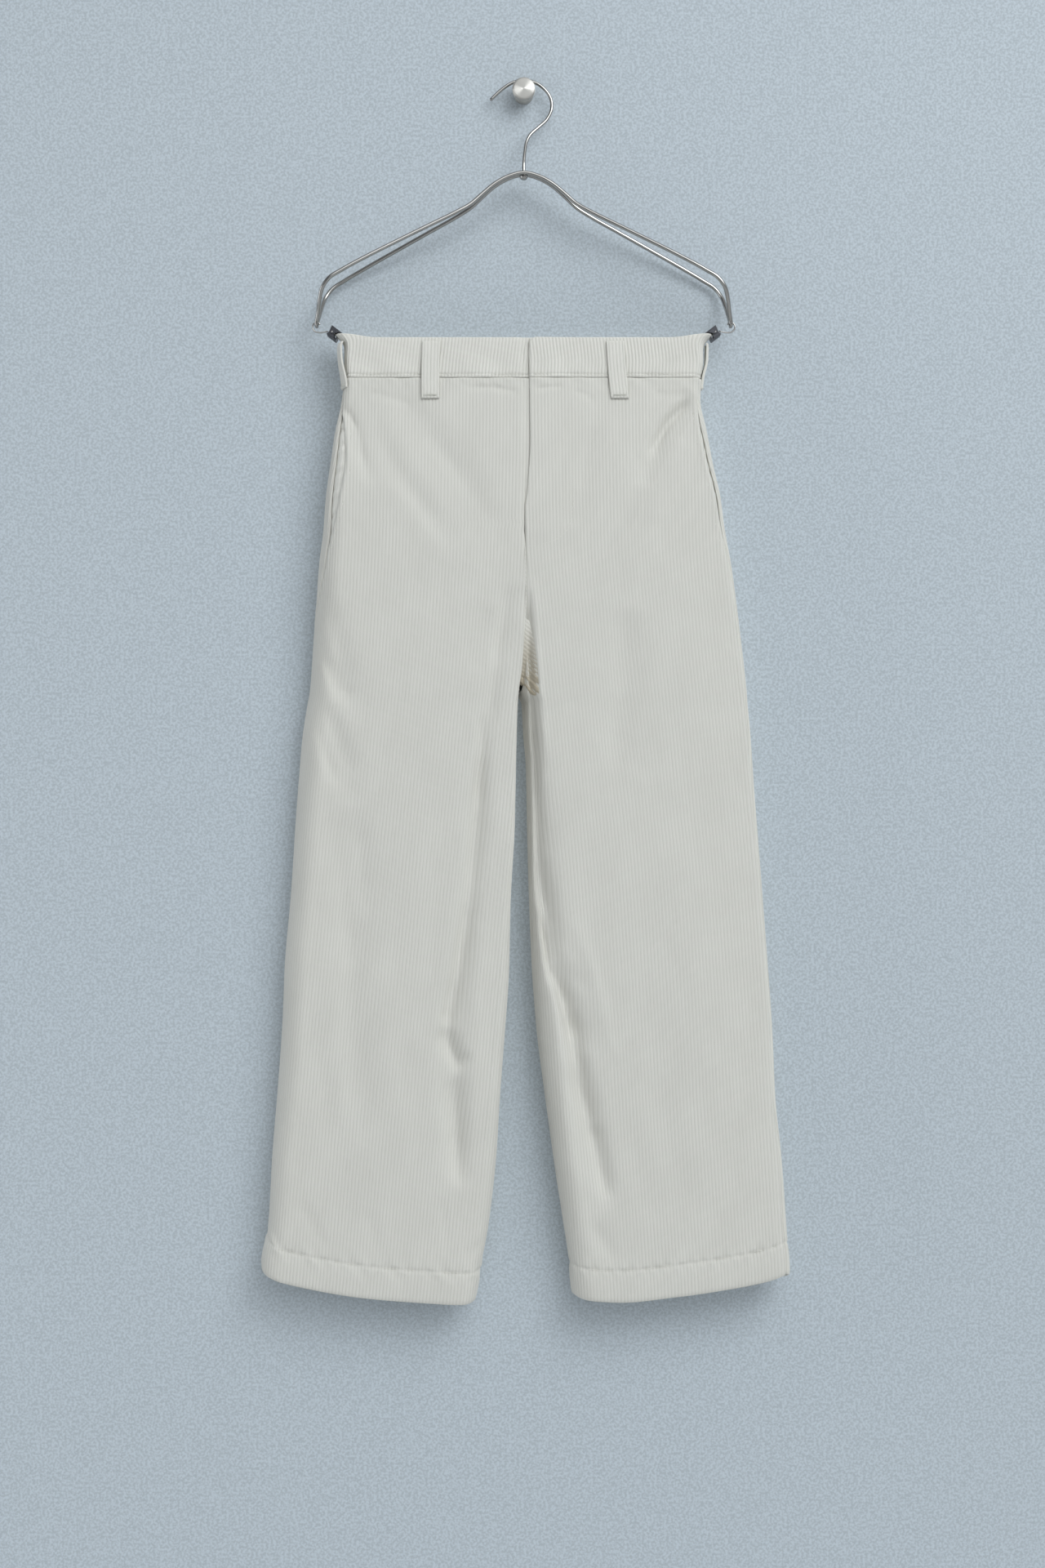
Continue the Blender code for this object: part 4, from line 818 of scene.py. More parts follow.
def panel_heights(hems):
    """Heights, rounding and thickness down a panel, from the waist seam past the hem's stitches to its edge."""
    head = WAIST_SEAM - HALF_GAP - np.array(PANEL_HEAD) * MM
    body = np.arange(head[-1] - BODY_STEP, CROTCH - 2 * MM, -BODY_STEP)
    stitched = hems + HEM_STITCH
    near = np.array(STITCH_ROWS)[:, None] * MM
    leg_rows = int((CROTCH - stitched.min()) / LEG_STEP)
    share = np.linspace(0, 1, leg_rows)[:-1, None]
    leg = CROTCH + (stitched + near[0] - CROTCH) * share
    edge_rows = rim(HEM_CLOTH, RIM_ROWS)
    fold = np.linspace(0, 1, HEM_ROWS + 2)[1:-1, None]
    last = stitched + near[-1]
    below = last + (hems + HEM_CLOTH / 2 - last) * fold
    upper = rows_at(np.concatenate([head, body]), len(hems))
    z = np.vstack([upper, leg, stitched + near, below, hems + edge_rows[:, :1]])
    inset = rounded_rows(z)
    inset[-RIM_ROWS:] = edge_rows[:, 1:]
    doubled = ease(z, hems + HEM_DEPTH + HEM_FOLD, hems + HEM_DEPTH)
    return z, inset, CLOTH + (HEM_CLOTH - CLOTH) * doubled


def panel_lay(side, face):
    """The tables of a panel, from its side seam, or its pocket's mouth, to its centre edge."""
    start = np.zeros(len(PANEL_LEVELS))
    end = np.full(len(PANEL_LEVELS), float(face))
    for n, z in enumerate(PANEL_LEVELS):
        distance = seam_distance(side, z)
        if face == FRONT:
            distance += pocket_gape(side, z)
            end[n] = centre_edge(side, z)
        start[n] = place_by_distance(side, z, distance)
    return lay_out(side, PANEL_LEVELS, start, end, table_of(GRAIN, SIDE_NAMES[side])(PANEL_LEVELS))


def panel(side_name, face, materials):
    """A front or a back panel, and the stitches that it carries."""
    side = SIDES[side_name]
    lay = panel_lay(side, face)
    s = wale_columns(lay)
    hems = HEM_OF[side](np.clip((lay.grain[-1] + s) / lay.lengths[-1, -1], 0, 1))
    z, inset, thick = panel_heights(hems)
    overlap = FLY[side] if face == FRONT else None
    edges = (SEAM_EDGE, CENTRE_EDGE)
    grid = corduroy_grid(lay, s, z, inset, thick[:, ::INNER_STEP], edges, overlap, panel_detail)
    name = ("front_" if face == FRONT else "back_") + side_name
    obj = cloth_mesh(name + "_cloth", grid, materials, "corduroy", name)
    sewing = [hem_row(lay, overlap)]
    if face == FRONT:
        sewing += pocket_rows(lay, overlap)
    if name == "front_left":
        sewing += fly_rows()
    return obj, stitches("stitches_" + name, sewing, materials[2])


def panel_detail(lay, places, z, from_start, from_end):
    """Inset of the small things on a panel: the sunk line of its hem's stitches with the puckers that they draw
    in, the welt beside its side seam and the unevenness of the cloth."""
    hem = HEM_OF[lay.side](np.clip(from_start / (from_start + from_end + 1e-6), 0, 1))
    above = z - hem - HEM_STITCH
    sunk = STITCH_DEPTH * bell(above, STITCH_REACH)
    plump = -HEM_PLUMP * bell(above + HEM_PLUMP_PLACE, HEM_PLUMP_REACH)
    drawn = puckers(from_start + lay.side * PUCKER_SHIFT, above) * bell(above, PUCKER_REACH)
    welt = -WELT_HEIGHT * bell(from_start - WELT_PLACE, WELT_WIDTH)
    below = WAIST_SEAM - z
    gathered = GATHER * puckers(from_start * GATHER_STRETCH + GATHER_SHIFT, below) * bell(below, PUCKER_REACH)
    return sunk + plump + drawn + welt + gathered + unevenness(lay.side, places, z)


def puckers(along, above):
    """Small uneven drags beside a line of stitches, which lean as the cloth is pulled along it."""
    height = 0
    for length, lean, phase, share in PUCKERS:
        height = height + share * np.sin(math.tau * (along + lean * above) / (length * MM) + phase)
    return PUCKER_HEIGHT * height


def unevenness(side, places, z):
    """A slow, shallow waviness, so that no stretch of cloth is quite flat."""
    height = np.zeros(np.broadcast(places, z).shape)
    for wave in WAVES:
        phase = wave.phase + side * WAVE_TURN
        turn = wave.across * places * WAVE_SPREAD + wave.down * z / WAVE_DROP + phase
        height = height + wave.height * MM * np.sin(turn)
    return height


# The fork, the cloth between the legs where the seams meet: its grid, its upper and lower ends, how deep it
# lies in the valley and how it falls away below
FORK_COLUMNS = 40
FORK_ROWS = 150
FORK_LEVELS = 64
VALLEY_POINTS = 60
FORK_TOP = -438 * MM
FORK_OPEN = -492 * MM
FORK_LOW_RIGHT = -572 * MM
FORK_LOW_LEFT = -583 * MM
FORK_LOW_SHARE = 0.8
FORK_DEPTH = 1.2 * MM
FORK_TOP_DEPTH = 0.35
FORK_FALL = 15.0 * MM
FORK_FALL_START = -500 * MM
FORK_BLEND = 0.8 * MM

# Its ends under both fronts, and how far it sinks at the left one and at its top
FORK_REACH = 1.3 * MM
FORK_REACH_RIGHT = 0.8 * MM
FORK_TUCK = 0.9 * MM
FORK_LEFT_SINK = 0.9 * MM
FORK_LEFT_SHARE = 0.14
FORK_TOP_SINK = 1.2 * MM
FORK_TOP_SHARE = 0.05

# Its wales, which slope across it, its wrinkles, and the turn of its lower edge
FORK_CLOTH = 0.9 * MM
FORK_GRAIN = math.radians(40)
FORK_WALE = 0.8 * MM
FORK_WALES_START = 30 * MM
FORK_CRUMPLE = -556 * MM
FORK_CRUMPLE_END = CROTCH - 4 * MM
FORK_CRUMPLE_HEIGHT = 1.2 * MM
FORK_CRUMPLE_STEP = 6.0 * MM
FORK_CRUMPLE_DRIFT = 5 * MM
FORK_CRUMPLE_SPREAD = (0.2, 0.6)
FORK_LIP = 2.2 * MM
FORK_LIP_START = 0.93
FORK_LIP_FULL = 0.98


def valley_side(side, levels):
    """Down the turn of a front into the valley between the legs, at each level: x, the depth below the front,
    and the front's own y."""
    places = np.linspace(1 - TURN_SHARE, 1, VALLEY_POINTS)
    z = rows_at(levels, len(places))
    points = drawn_point(side, z, np.broadcast_to(places, z.shape), 0.0)
    first = points[:, :1, 1]
    return np.concatenate([points[..., 0], points[..., 1] - first, first], axis=1)


def table_row(levels, rows, z):
    """The row of a table at z, between its two nearest levels."""
    step = (levels[0] - levels[-1]) / (len(levels) - 1)
    at = np.clip((levels[0] - z) / step, 0, len(levels) - 1.001)
    n = int(at)
    row = rows[n] * (1 - (at - n)) + rows[n + 1] * (at - n)
    half = len(row) // 2
    return row[:half], row[half : 2 * half], row[-1]


def fork_point(right, left, level, across, down):
    """A point of the fork at a level, at shares of the way across and down it. right and left are the turns of
    the fronts at that level."""
    x_right, depth_right, y_right = right
    x_left, depth_left, y_left = left
    floor = FORK_DEPTH * (FORK_TOP_DEPTH + (1 - FORK_TOP_DEPTH) * float(ease(level, FORK_TOP, FORK_OPEN)))
    floor += FORK_FALL * float(ease(level, FORK_FALL_START, CROTCH))
    start = np.interp(floor + FORK_REACH_RIGHT, depth_right, x_right) - FORK_TUCK
    end = np.interp(FORK_REACH, depth_left, x_left)
    x = start + (end - start) * across
    valley = float(np.interp(x, x_left[::-1], depth_left[::-1]))
    soft = FORK_BLEND * math.log(math.exp(-valley / FORK_BLEND) + math.exp(-floor / FORK_BLEND))
    under = FORK_LEFT_SINK * bell(1 - across, FORK_LEFT_SHARE) + FORK_TOP_SINK * bell(down, FORK_TOP_SHARE)
    share = (x - x_right[0]) / max(x_left[0] - x_right[0], MM)
    return x, y_right + (y_left - y_right) * share - soft + under, level


def fork(materials):
    """The cloth between the legs: it sinks into the valley, its wales run across it, and it crumples above the
    lower edge."""
    across = np.linspace(0, 1, FORK_COLUMNS)
    down = np.linspace(0, 1, FORK_ROWS)[:, None]
    low = FORK_LOW_RIGHT + (FORK_LOW_LEFT - FORK_LOW_RIGHT) * ease(across, 0, FORK_LOW_SHARE)
    z = FORK_TOP + (low - FORK_TOP) * down
    levels = np.linspace(FORK_TOP, FORK_LOW_LEFT, FORK_LEVELS)
    right, left = (valley_side(side, levels) for side in (RIGHT, LEFT))
    points = np.zeros((*z.shape, 3))
    for i, j in np.ndindex(z.shape):
        turns = (table_row(levels, rows, z[i, j]) for rows in (right, left))
        points[i, j] = fork_point(*turns, z[i, j], across[j], down[i, 0])
    x = points[..., 0]
    crossing = x * math.sin(FORK_GRAIN) + z * math.cos(FORK_GRAIN)
    along = x * math.cos(FORK_GRAIN) - z * math.sin(FORK_GRAIN)
    wave = np.sin(math.tau * crossing / FORK_CRUMPLE_STEP + along / FORK_CRUMPLE_DRIFT)
    crumple = ease(z, FORK_CRUMPLE, FORK_CRUMPLE_END) * (wave - ease(across, *FORK_CRUMPLE_SPREAD))
    edge = np.clip((down - FORK_LIP_START) / (1 - FORK_LIP_START), 0, 1)
    lip = FORK_LIP * (1 - np.sqrt(1 - edge**2 * FORK_LIP_FULL))
    wales = FORK_WALE * ease(z, FORK_OPEN, FORK_OPEN - FORK_WALES_START) * ridge(crossing)
    sunk = FORK_CRUMPLE_HEIGHT * crumple + lip - wales
    outer, inner = points.copy(), points.copy()
    outer[..., 1] += sunk
    inner[..., 1] += np.maximum(sunk, 0) + FORK_CLOTH
    grid = Grid(outer, inner, crossing / WALE_PITCH, along / WALE_PITCH, np.arange(FORK_COLUMNS))
    return cloth_mesh("fork_cloth", grid, materials, "corduroy")


# The waistband: the levels of its tables, its rows above the seam, in millimetres, the stitches there, its end
# under the other half, and how far its grain leans
BAND_LEVELS = np.linspace(-238.0, -282.5, 24) * MM
BAND_HEAD = (0, 0.5, 1.1, 1.9, 2.6, 3.0, 3.4, 3.8, 4.4, 5.4)
BAND_ROWS = 13
BAND_RIM = 5
BAND_STITCH = 3.3 * MM
BAND_STITCH_DEPTH = 0.65 * MM
BAND_STITCH_REACH = 0.9 * MM
BAND_ROW_INSET = 0.3 * MM
BAND_ROW_ENDS = (1 * MM, 1.5 * MM)
BAND_WAVE = 0.8
BAND_WAVE_STRETCH = (0.45, 0.5)
BAND_WAVE_REACH = 26 * MM
BAND_UNDERLAP = 42 * MM
BAND_SHEAR = 0.12


def band_heights(side, x, on_front):
    """Heights and rounding up the waistband, whose seam edge is pressed and whose top is folded over."""
    top = WAIST_TOP + CORNER_RISE * corner_nearness(side, x, WAIST_SEAM)
    if side == LEFT:
        cut = np.clip(1 - np.maximum(x - OVERLAP_EDGE, 0) / OVERLAP_CORNER, 0, 1)
        top = top - np.where(on_front, OVERLAP_CORNER * (1 - np.sqrt(1 - cut**2)), 0)
    edge_rows = rim(BAND_CLOTH, BAND_RIM)
    head = WAIST_SEAM + HALF_GAP + np.array(BAND_HEAD) * MM
    share = np.linspace(0, 1, BAND_ROWS + 1)[1:, None]
    body = head[-1] + (top - BAND_CLOTH / 2 - head[-1]) * share
    z = np.vstack([rows_at(head, len(x)), body, top - edge_rows[:, :1]])
    inset = rounded_rows(z)
    inset[-BAND_RIM:] = edge_rows[:, 1:]
    return z, inset


def band_detail(lay, places, z, from_start, from_end):
    """The sunk line of the stitches along the band's seam, and the slight waves of the band."""
    above = z - WAIST_SEAM - BAND_STITCH
    sunk = BAND_STITCH_DEPTH * bell(above, BAND_STITCH_REACH)
    along, up = BAND_WAVE_STRETCH
    return sunk + BAND_WAVE * puckers(from_start * along, above * up) * bell(above, BAND_WAVE_REACH)


def waistband(side_name, materials):
    """Half of the waistband, from the centre back round the side to its end at the centre front."""
    side = SIDES[side_name]
    levels = BAND_LEVELS
    reach = OVERLAP_EDGE if side == LEFT else BAND_UNDERLAP
    end = np.array([place_at_x(side, z, reach) for z in levels])
    lay = lay_out(side, levels, np.full(len(levels), -1.0), end, np.zeros(len(levels)))
    half = [np.interp(0, a + (b - a) * lay.shares, row) for a, b, row in zip(lay.start, lay.end, lay.lengths)]
    lay = lay._replace(grain=np.array(half) + BAND_SHEAR * (levels - WAIST_SEAM))
    s = wale_columns(lay)
    length = np.clip(lay.grain[-1] + s, 0, lay.lengths[-1, -1])
    places = places_at(lay, np.full(len(s), WAIST_SEAM), length)
    x, _, _ = half_form(side, WAIST_SEAM, np.clip(places, -1, 1), 0.0)
    z, inset = band_heights(side, x, places > TURN_SHARE)
    thickness = np.full((1, 1), BAND_CLOTH)
    grid = corduroy_grid(lay, s, z, inset, thickness, (SEAM_EDGE, FREE_EDGE), BAND[side], band_detail)
    name = "waistband_" + side_name
    obj = cloth_mesh(name + "_cloth", grid, materials, "corduroy", name)
    first, last = BAND_ROW_ENDS
    length = np.linspace(first, lay.lengths[-1, -1] - last, ROW_POINTS)
    row = sewn_row(lay, np.full(ROW_POINTS, WAIST_SEAM + BAND_STITCH), length, BAND[side], BAND_ROW_INSET)
    return obj, stitches("stitches_" + name, [row], materials[2])


# Belt loops: the columns across the strip, its rounded edges and wales, and how far those on the front and the
# back stand off, as a share of their solids
LOOP_ACROSS = np.linspace(-LOOP_WIDTH / 2, LOOP_WIDTH / 2, 25)
LOOP_ROUNDING = 1.1 * MM
LOOP_BORDER = 1.2 * MM
LOOP_WALE = 0.45 * MM
LOOP_LEAST = 0.5 * MM
LOOP_REST = 0.4
LOOP_ROWS = 44
SIDE_LOOP_ROWS = 40
# The sunk places where a loop is sewn down at its top and its bottom, and the stitches at the lower one
LOOP_TACK_DEPTH = (0.05 * MM, 0.45 * MM)
LOOP_TACK_PLACE = 3.4 * MM
LOOP_TACK_REACH = 1.2 * MM
LOOP_TACK_SHARE = 0.945
LOOP_TACK_SINK = 0.15 * MM
LOOP_TACK_BORDER = 3
# How far forward each side loop sits, and how far it stands out
SIDE_LOOP_FORWARD = {RIGHT: 8.5 * MM, LEFT: -1.0 * MM}
SIDE_LOOP_LIFT = {RIGHT: 4.4 * MM, LEFT: 2.6 * MM}
SIDE_LOOP_TURN = 0.95

# The pocket's bag, which narrows downwards: its levels and the steps across it, and the swell and wrinkles of
# its facing in the mouth. A wrinkle has a length, a phase and a share.
BAG_LEVELS = np.concatenate([np.arange(-281.8, -450, -2.4), np.arange(-450, -500, -4)]) * MM
BAG_STEPS = np.concatenate([np.linspace(-10, 24, 24), np.linspace(26, 120, 24)]) * MM
BAG_NARROW = 0.35
BAG_NARROW_FROM = (-440 * MM, -500 * MM)
FACING_MIDDLE = 5 * MM
FACING_REACH = 6 * MM
FACING_WRINKLE = 0.75 * MM
FACING_WRINKLES = ((13.5 * MM, 0.8, 1.0), (8.2 * MM, 2.0, 0.6))
FACING_SLOPE = 0.35
FACING_SWELL = 0.6 * MM

# The grid of the zip's tape and of the shield
FLY_SHEET_ROWS = 60
FLY_SHEET_COLUMNS = 24


def rounding(distance, reach):
    """How far an edge rounds off at a distance from it."""
    return np.where(distance < reach, reach - np.sqrt(np.maximum(reach**2 - (reach - distance) ** 2, 0)), 0)


def places_across(side, levels, middles, offsets, face=FRONT):
    """Places at offsets in x from a middle, at each level of the front or the back."""
    rows = [[place_at_x(side, z, x + offset, face) for offset in offsets] for z, x in zip(levels, middles)]
    return np.array(rows)


def belt_loop(name, side, levels, places, lift, materials):
    """A belt loop: a folded strip with its wales along it, sewn down at the top and the bottom."""
    s = LOOP_ACROSS
    z = rows_at(levels, len(s))
    edge = LOOP_WIDTH / 2 - np.abs(s)
    relief = LOOP_WALE * (1 - ridge(s + WALE_PITCH / 2)) * (edge > LOOP_BORDER)
    from_end = np.minimum(levels[0] - levels, levels - levels[-1])
    tack = np.where(levels > levels.mean(), *LOOP_TACK_DEPTH)
    tack = tack * bell(from_end - LOOP_TACK_PLACE, LOOP_TACK_REACH)
    stand = -(LOOP_GAP + lift[:, None])
    top = stand - LOOP_CLOTH + rounding(edge, LOOP_ROUNDING) + relief
    top = top + (rounding(from_end, LOOP_ROUNDING) + tack)[:, None]
    outer = cloth_point(side, z, places, top)
    inner = cloth_point(side, z, places, np.maximum(stand, top + LOOP_LEAST))
    u = np.broadcast_to(s / WALE_PITCH + 0.5, z.shape)
    grid = Grid(outer, inner, u, -z / WALE_PITCH, np.arange(len(s)))
    obj = cloth_mesh(name + "_cloth", grid, materials, "corduroy", name)
    level = levels[0] + (levels[-1] - levels[0]) * LOOP_TACK_SHARE
    nearest = round((len(levels) - 1) * LOOP_TACK_SHARE)
    proud = LOOP_TACK_SINK + stand[nearest, 0] - LOOP_CLOTH
    line = places[nearest][LOOP_TACK_BORDER:-LOOP_TACK_BORDER]
    sewing = []
    for step in TACK_STEPS:
        height = np.full(len(line), level + step)
        sewing.append(stitch_row(side, height, line, None, proud, TACK, TACK_SPACE))
    return obj, stitches("stitches_" + name, sewing, materials[2])


def belt_loops(materials):
    """The loops on the front and the back, then those at the sides, each with its name."""
    made = []
    levels = np.linspace(LOOP_TOP, LOOP_BOTTOM, LOOP_ROWS)
    share = (LOOP_TOP - levels) / (LOOP_TOP - LOOP_BOTTOM)
    lift = LOOP_REST * LOOP_SLACK * np.sin(math.pi * share)
    for name, face, top_x, bottom_x in LOOPS:
        side = LEFT if top_x > 0 else RIGHT
        middles = (top_x + (bottom_x - top_x) * share) * MM
        places = places_across(side, levels, middles, LOOP_ACROSS, face)
        made.append((name, belt_loop(name, side, levels, places, lift, materials)))
    levels = np.linspace(LOOP_TOP, SIDE_LOOP_BOTTOM, SIDE_LOOP_ROWS)
    share = (LOOP_TOP - levels) / (LOOP_TOP - SIDE_LOOP_BOTTOM)
    slack = smooth_column(SIDE_SLACK_PLACES, SIDE_SLACK_SHARES)(share)
    for side_name, side in SIDES.items():
        lift = SIDE_LOOP_LIFT[side] * slack
        reach = COLUMNS["front"](levels) + LOOP_GAP + lift + LOOP_CLOTH / 2
        turn = np.arcsin(np.minimum((LOOP_ACROSS + SIDE_LOOP_FORWARD[side]) / reach[:, None], SIDE_LOOP_TURN))
        name = "loop_side_" + side_name
        places = TURN_SHARE * turn / (math.pi / 2)
        made.append((name, belt_loop(name, side, levels, places, lift, materials)))
    return made


def plain_sheet(node, side, z, places, inset, thickness, materials, slot_name, overlap=None):
    """A closed sheet over a grid of heights and places, which stands for a node."""
    outer = cloth_point(side, z, places, inset, overlap)
    inner = cloth_point(side, z, places, inset + thickness, overlap)
    middle_row = outer[len(z) // 2, :, :2]
    u = np.broadcast_to(lengths_along(middle_row) / WALE_PITCH, z.shape)
    grid = Grid(outer, inner, u, -z / WALE_PITCH, np.arange(z.shape[1]))
    return cloth_mesh(node + "_cloth", grid, materials, slot_name, node)


def pocket_bag(side_name, materials):
    """The pocket's bag and facing, which lie behind the front and show in the pocket's mouth."""
    side = SIDES[side_name]
    levels, steps = BAG_LEVELS, BAG_STEPS
    dense = np.linspace(0, 1 - TURN_SHARE, DENSE)
    places = []
    for level in levels:
        narrow = 1 - BAG_NARROW * float(ease(level, *BAG_NARROW_FROM))
        reach = seam_distance(side, level) + np.where(steps > 0, steps * narrow, steps)
        places.append(np.interp(reach, run_length(side, level, dense), dense))
    z = rows_at(levels, len(steps))
    shown = bell(steps - FACING_MIDDLE, FACING_REACH)
    turn = math.tau * (FACING_SLOPE * steps - z)
    wrinkle = sum(share * np.sin(turn / length + phase) for length, phase, share in FACING_WRINKLES)
    inset = BAG_INSET - FACING_WRINKLE * wrinkle * shown - FACING_SWELL * shown
    node = "pocket_bag_" + side_name
    return plain_sheet(node, side, z, np.array(places), inset, BAG_CLOTH, materials, "pocket_cloth")


def fly_sheet(node, start, end, bottom, inset, thickness, materials, slot_name):
    """The zip's tape or the shield behind it."""
    levels = np.linspace(WAIST_SEAM - SEAM_GAP, bottom, FLY_SHEET_ROWS)
    offsets = np.linspace(start, end, FLY_SHEET_COLUMNS)
    places = places_across(RIGHT, levels, COLUMNS["centre"](levels), offsets)
    z = rows_at(levels, places.shape[1])
    return plain_sheet(node, RIGHT, z, places, inset, thickness, materials, slot_name, fly_behind)


# Stitches: their length and space, the thread's radius and, at shares of a stitch, its size and its height over
# the cloth in radii
STITCH = 2.9 * MM
STITCH_SPACE = 0.9 * MM
THREAD = 0.30 * MM
THREAD_SIDES = 6
STITCH_RINGS = ((0.0, 0.35, -0.5), (0.15, 0.8, 0.2), (0.5, 1.0, 0.45), (0.85, 0.8, 0.2), (1.0, 0.35, -0.5))
ROW_POINTS = 400
# The close stitches of a bar, which is three threads deep
TACK = 0.55 * MM
TACK_SPACE = 0.15 * MM
TACK_STEPS = (-0.55 * MM, 0.0, 0.55 * MM)
TACK_POINTS = 12
# The rows at a hem and at a pocket's mouth, with how deep in the cloth they lie and from where to where they go
HEM_ROW = (0.004, 0.996)
HEM_ROW_INSET = STITCH_DEPTH - 0.1 * MM
MOUTH_STITCH = 6 * MM
MOUTH_ROW_INSET = 0.1 * MM
MOUTH_BAR = (0.4 * MM, MOUTH_STITCH + 1.2 * MM)
MOUTH_BAR_INSET = -0.1 * MM
# The fly's stitching from the waist seam down to the centre, in millimetres, as seen from the front, and the
# bar at its foot
FLY_STITCHING = (
    (46.0, -283.0), (46.6, -330.0), (47.4, -372.0), (46.6, -404.9),
    (40.4, -428.0), (31.0, -435.8), (20.0, -439.6), (4.0, -442.7),
)
FLY_ROW_STEPS = 24
FLY_ROW_INSET = 0.2 * MM
FLY_BAR = (-436 * MM, -443 * MM)
FLY_BAR_STEPS = (2.0 * MM, 2.6 * MM, 3.2 * MM)


def stitch_row(side, z, places, overlap=None, inset=0.0, length=STITCH, space=STITCH_SPACE):
    """Rings along the stitches of a line on the cloth: their middles, and the way straight out of the cloth."""
    z = np.asarray(z, float)
    along = lengths_along(cloth_point(side, z, places, inset, overlap))
    starts = np.arange(space / 2, along[-1] - length, length + space)
    result = []
    for share, _, _ in STITCH_RINGS:
        place = [np.interp(starts + share * length, along, values) for values in (z, places)]
        low = cloth_point(side, *place, inset, overlap)
        high = cloth_point(side, *place, inset - MM, overlap)
        result.append((low, (high - low) / MM))
    return result


def unit(vectors):
    return vectors / np.maximum(np.linalg.norm(vectors, axis=-1, keepdims=True), 1e-9)


def stitches(name, rows, material):
    """One mesh of all the stitches of some rows, each a short plump thread that dips into the cloth."""
    rings = len(STITCH_RINGS)
    sizes = np.array([(size, lift) for _, size, lift in STITCH_RINGS]) * THREAD
    turns = math.tau * np.arange(THREAD_SIDES) / THREAD_SIDES
    points = []
    for row in rows:
        centre = np.stack([ring[0] for ring in row])
        out = unit(row[rings // 2][1])[None]
        aside = np.cross(unit(centre[-1:] - centre[:1]), out)
        middle = (centre + out * sizes[:, 1, None, None])[:, :, None]
        off = aside[:, :, None] * np.cos(turns)[:, None] + out[:, :, None] * np.sin(turns)[:, None]
        whole = middle + off * sizes[:, 0, None, None, None]
        points.append(np.moveaxis(whole, 1, 0).reshape(-1, 3))
    points = np.vstack(points)
    tube = []
    for ring in range(rings - 1):
        for n in range(THREAD_SIDES):
            a, b = ring * THREAD_SIDES + n, ring * THREAD_SIDES + (n + 1) % THREAD_SIDES
            tube.append((a, b, b + THREAD_SIDES, a + THREAD_SIDES))
    end = tuple(range(THREAD_SIDES))
    last = tuple((rings - 1) * THREAD_SIDES + n for n in end)
    faces = []
    for first in range(0, len(points), rings * THREAD_SIDES):
        faces += [tuple(first + n for n in face) for face in [*tube, end[::-1], last]]
    data = bpy.data.meshes.new(name)
    data.from_pydata(points.tolist(), [], faces)
    tidy_mesh(data)
    data.shade_smooth()
    return link_piece(name, data, [material], "corduroy")


def sewn_row(lay, level, length, overlap, inset, *stitch):
    """A row of stitches at heights and lengths along a piece of cloth."""
    return stitch_row(lay.side, level, places_at(lay, level, length), overlap, inset, *stitch)


def hem_row(lay, overlap):
    """The stitches that hold up a panel's hem."""
    share = np.linspace(*HEM_ROW, ROW_POINTS)
    level = HEM_OF[lay.side](share) + HEM_STITCH
    length = at_level(lay, lay.lengths[:, -1], level) * share
    return sewn_row(lay, level, length, overlap, HEM_ROW_INSET)


def pocket_rows(lay, overlap):
    """The stitches along a pocket's mouth, and the bar of stitches across each of its ends."""
    level = np.linspace(POCKET_TOP, POCKET_BOTTOM, ROW_POINTS)
    rows = [sewn_row(lay, level, np.full(ROW_POINTS, MOUTH_STITCH), overlap, MOUTH_ROW_INSET)]
    length = np.linspace(*MOUTH_BAR, TACK_POINTS)
    for end in (POCKET_TOP, POCKET_BOTTOM):
        for step in TACK_STEPS:
            level = np.full(TACK_POINTS, end + step)
            rows.append(sewn_row(lay, level, length, overlap, MOUTH_BAR_INSET, TACK, TACK_SPACE))
    return rows


def fly_rows():
    """The curved stitching that holds the fly's facing, and the bar at its foot."""
    path = smooth_path([(x * MM, z * MM) for x, z in FLY_STITCHING], FLY_ROW_STEPS)
    lean = COLUMNS["lean"](path[:, 1]) * COLUMNS["front"](path[:, 1])
    places = np.array([place_at_x(LEFT, z, x - shift) for (x, z), shift in zip(path, lean)])
    rows = [stitch_row(LEFT, path[:, 1], places, FLY[LEFT], FLY_ROW_INSET)]
    z = np.linspace(*FLY_BAR, TACK_POINTS)
    for places in places_across(LEFT, z, COLUMNS["centre"](z), FLY_BAR_STEPS).T:
        rows.append(stitch_row(LEFT, z, places, FLY[LEFT], 0.0, TACK, TACK_SPACE))
    return rows


# The clips. The first number of each outline runs towards the cloth and the second inward, in millimetres. A
# jaw has a plate, an ear at each side round the pin, and ribs pressed outward.
Jaw = namedtuple("Jaw", "plate ear ear_inset ribs first_rib way")
JAWS = {
    "inner_jaw": Jaw(
        ((-12.8, 4.0), (-0.7, 4.0), (0.0, 1.8), (1.2, 1.7), (1.7, 4.2), (1.1, 4.9), (-12.8, 4.9)),
        ((-12.6, 4.1), (-11.9, 0.6), (-10.9, -1.4), (-9.0, -2.0), (-7.1, -1.4), (-5.6, 1.0), (-2.4, 4.1)),
        0, 5, -11.6, 1,
    ),
    "outer_jaw": Jaw(
        ((-12.0, -4.9), (-1.9, -4.9), (-1.4, -4.3), (-1.5, -1.5), (-2.6, -1.5), (-3.2, -4.0), (-12.0, -4.0)),
        ((-11.8, -4.1), (-11.6, -0.8), (-10.8, 1.4), (-9.0, 2.0), (-7.2, 1.4), (-6.0, -0.6), (-3.6, -4.1)),
        1, 4, -10.8, -1,
    ),
}
JAW_METAL = 0.7
RIB = ((0, 4.8), (0.9, 4.8), (0.7, 5.25), (0.2, 5.25))
RIB_STEP = 2.3
RIB_END = 1.5
LEAF = ((-13.4, 2.7), (-11.5, 3.2), (-8.6, 3.0), (-5.2, 2.2), (-2.6, 1.9), (-0.9, 2.4))
LEAF_METAL = 0.45
LEAF_END = 1.6
COIL_TURNS = 8
COIL_STEPS = 12
COIL_WIDTH = 10.4
COIL_RADIUS = 2.5
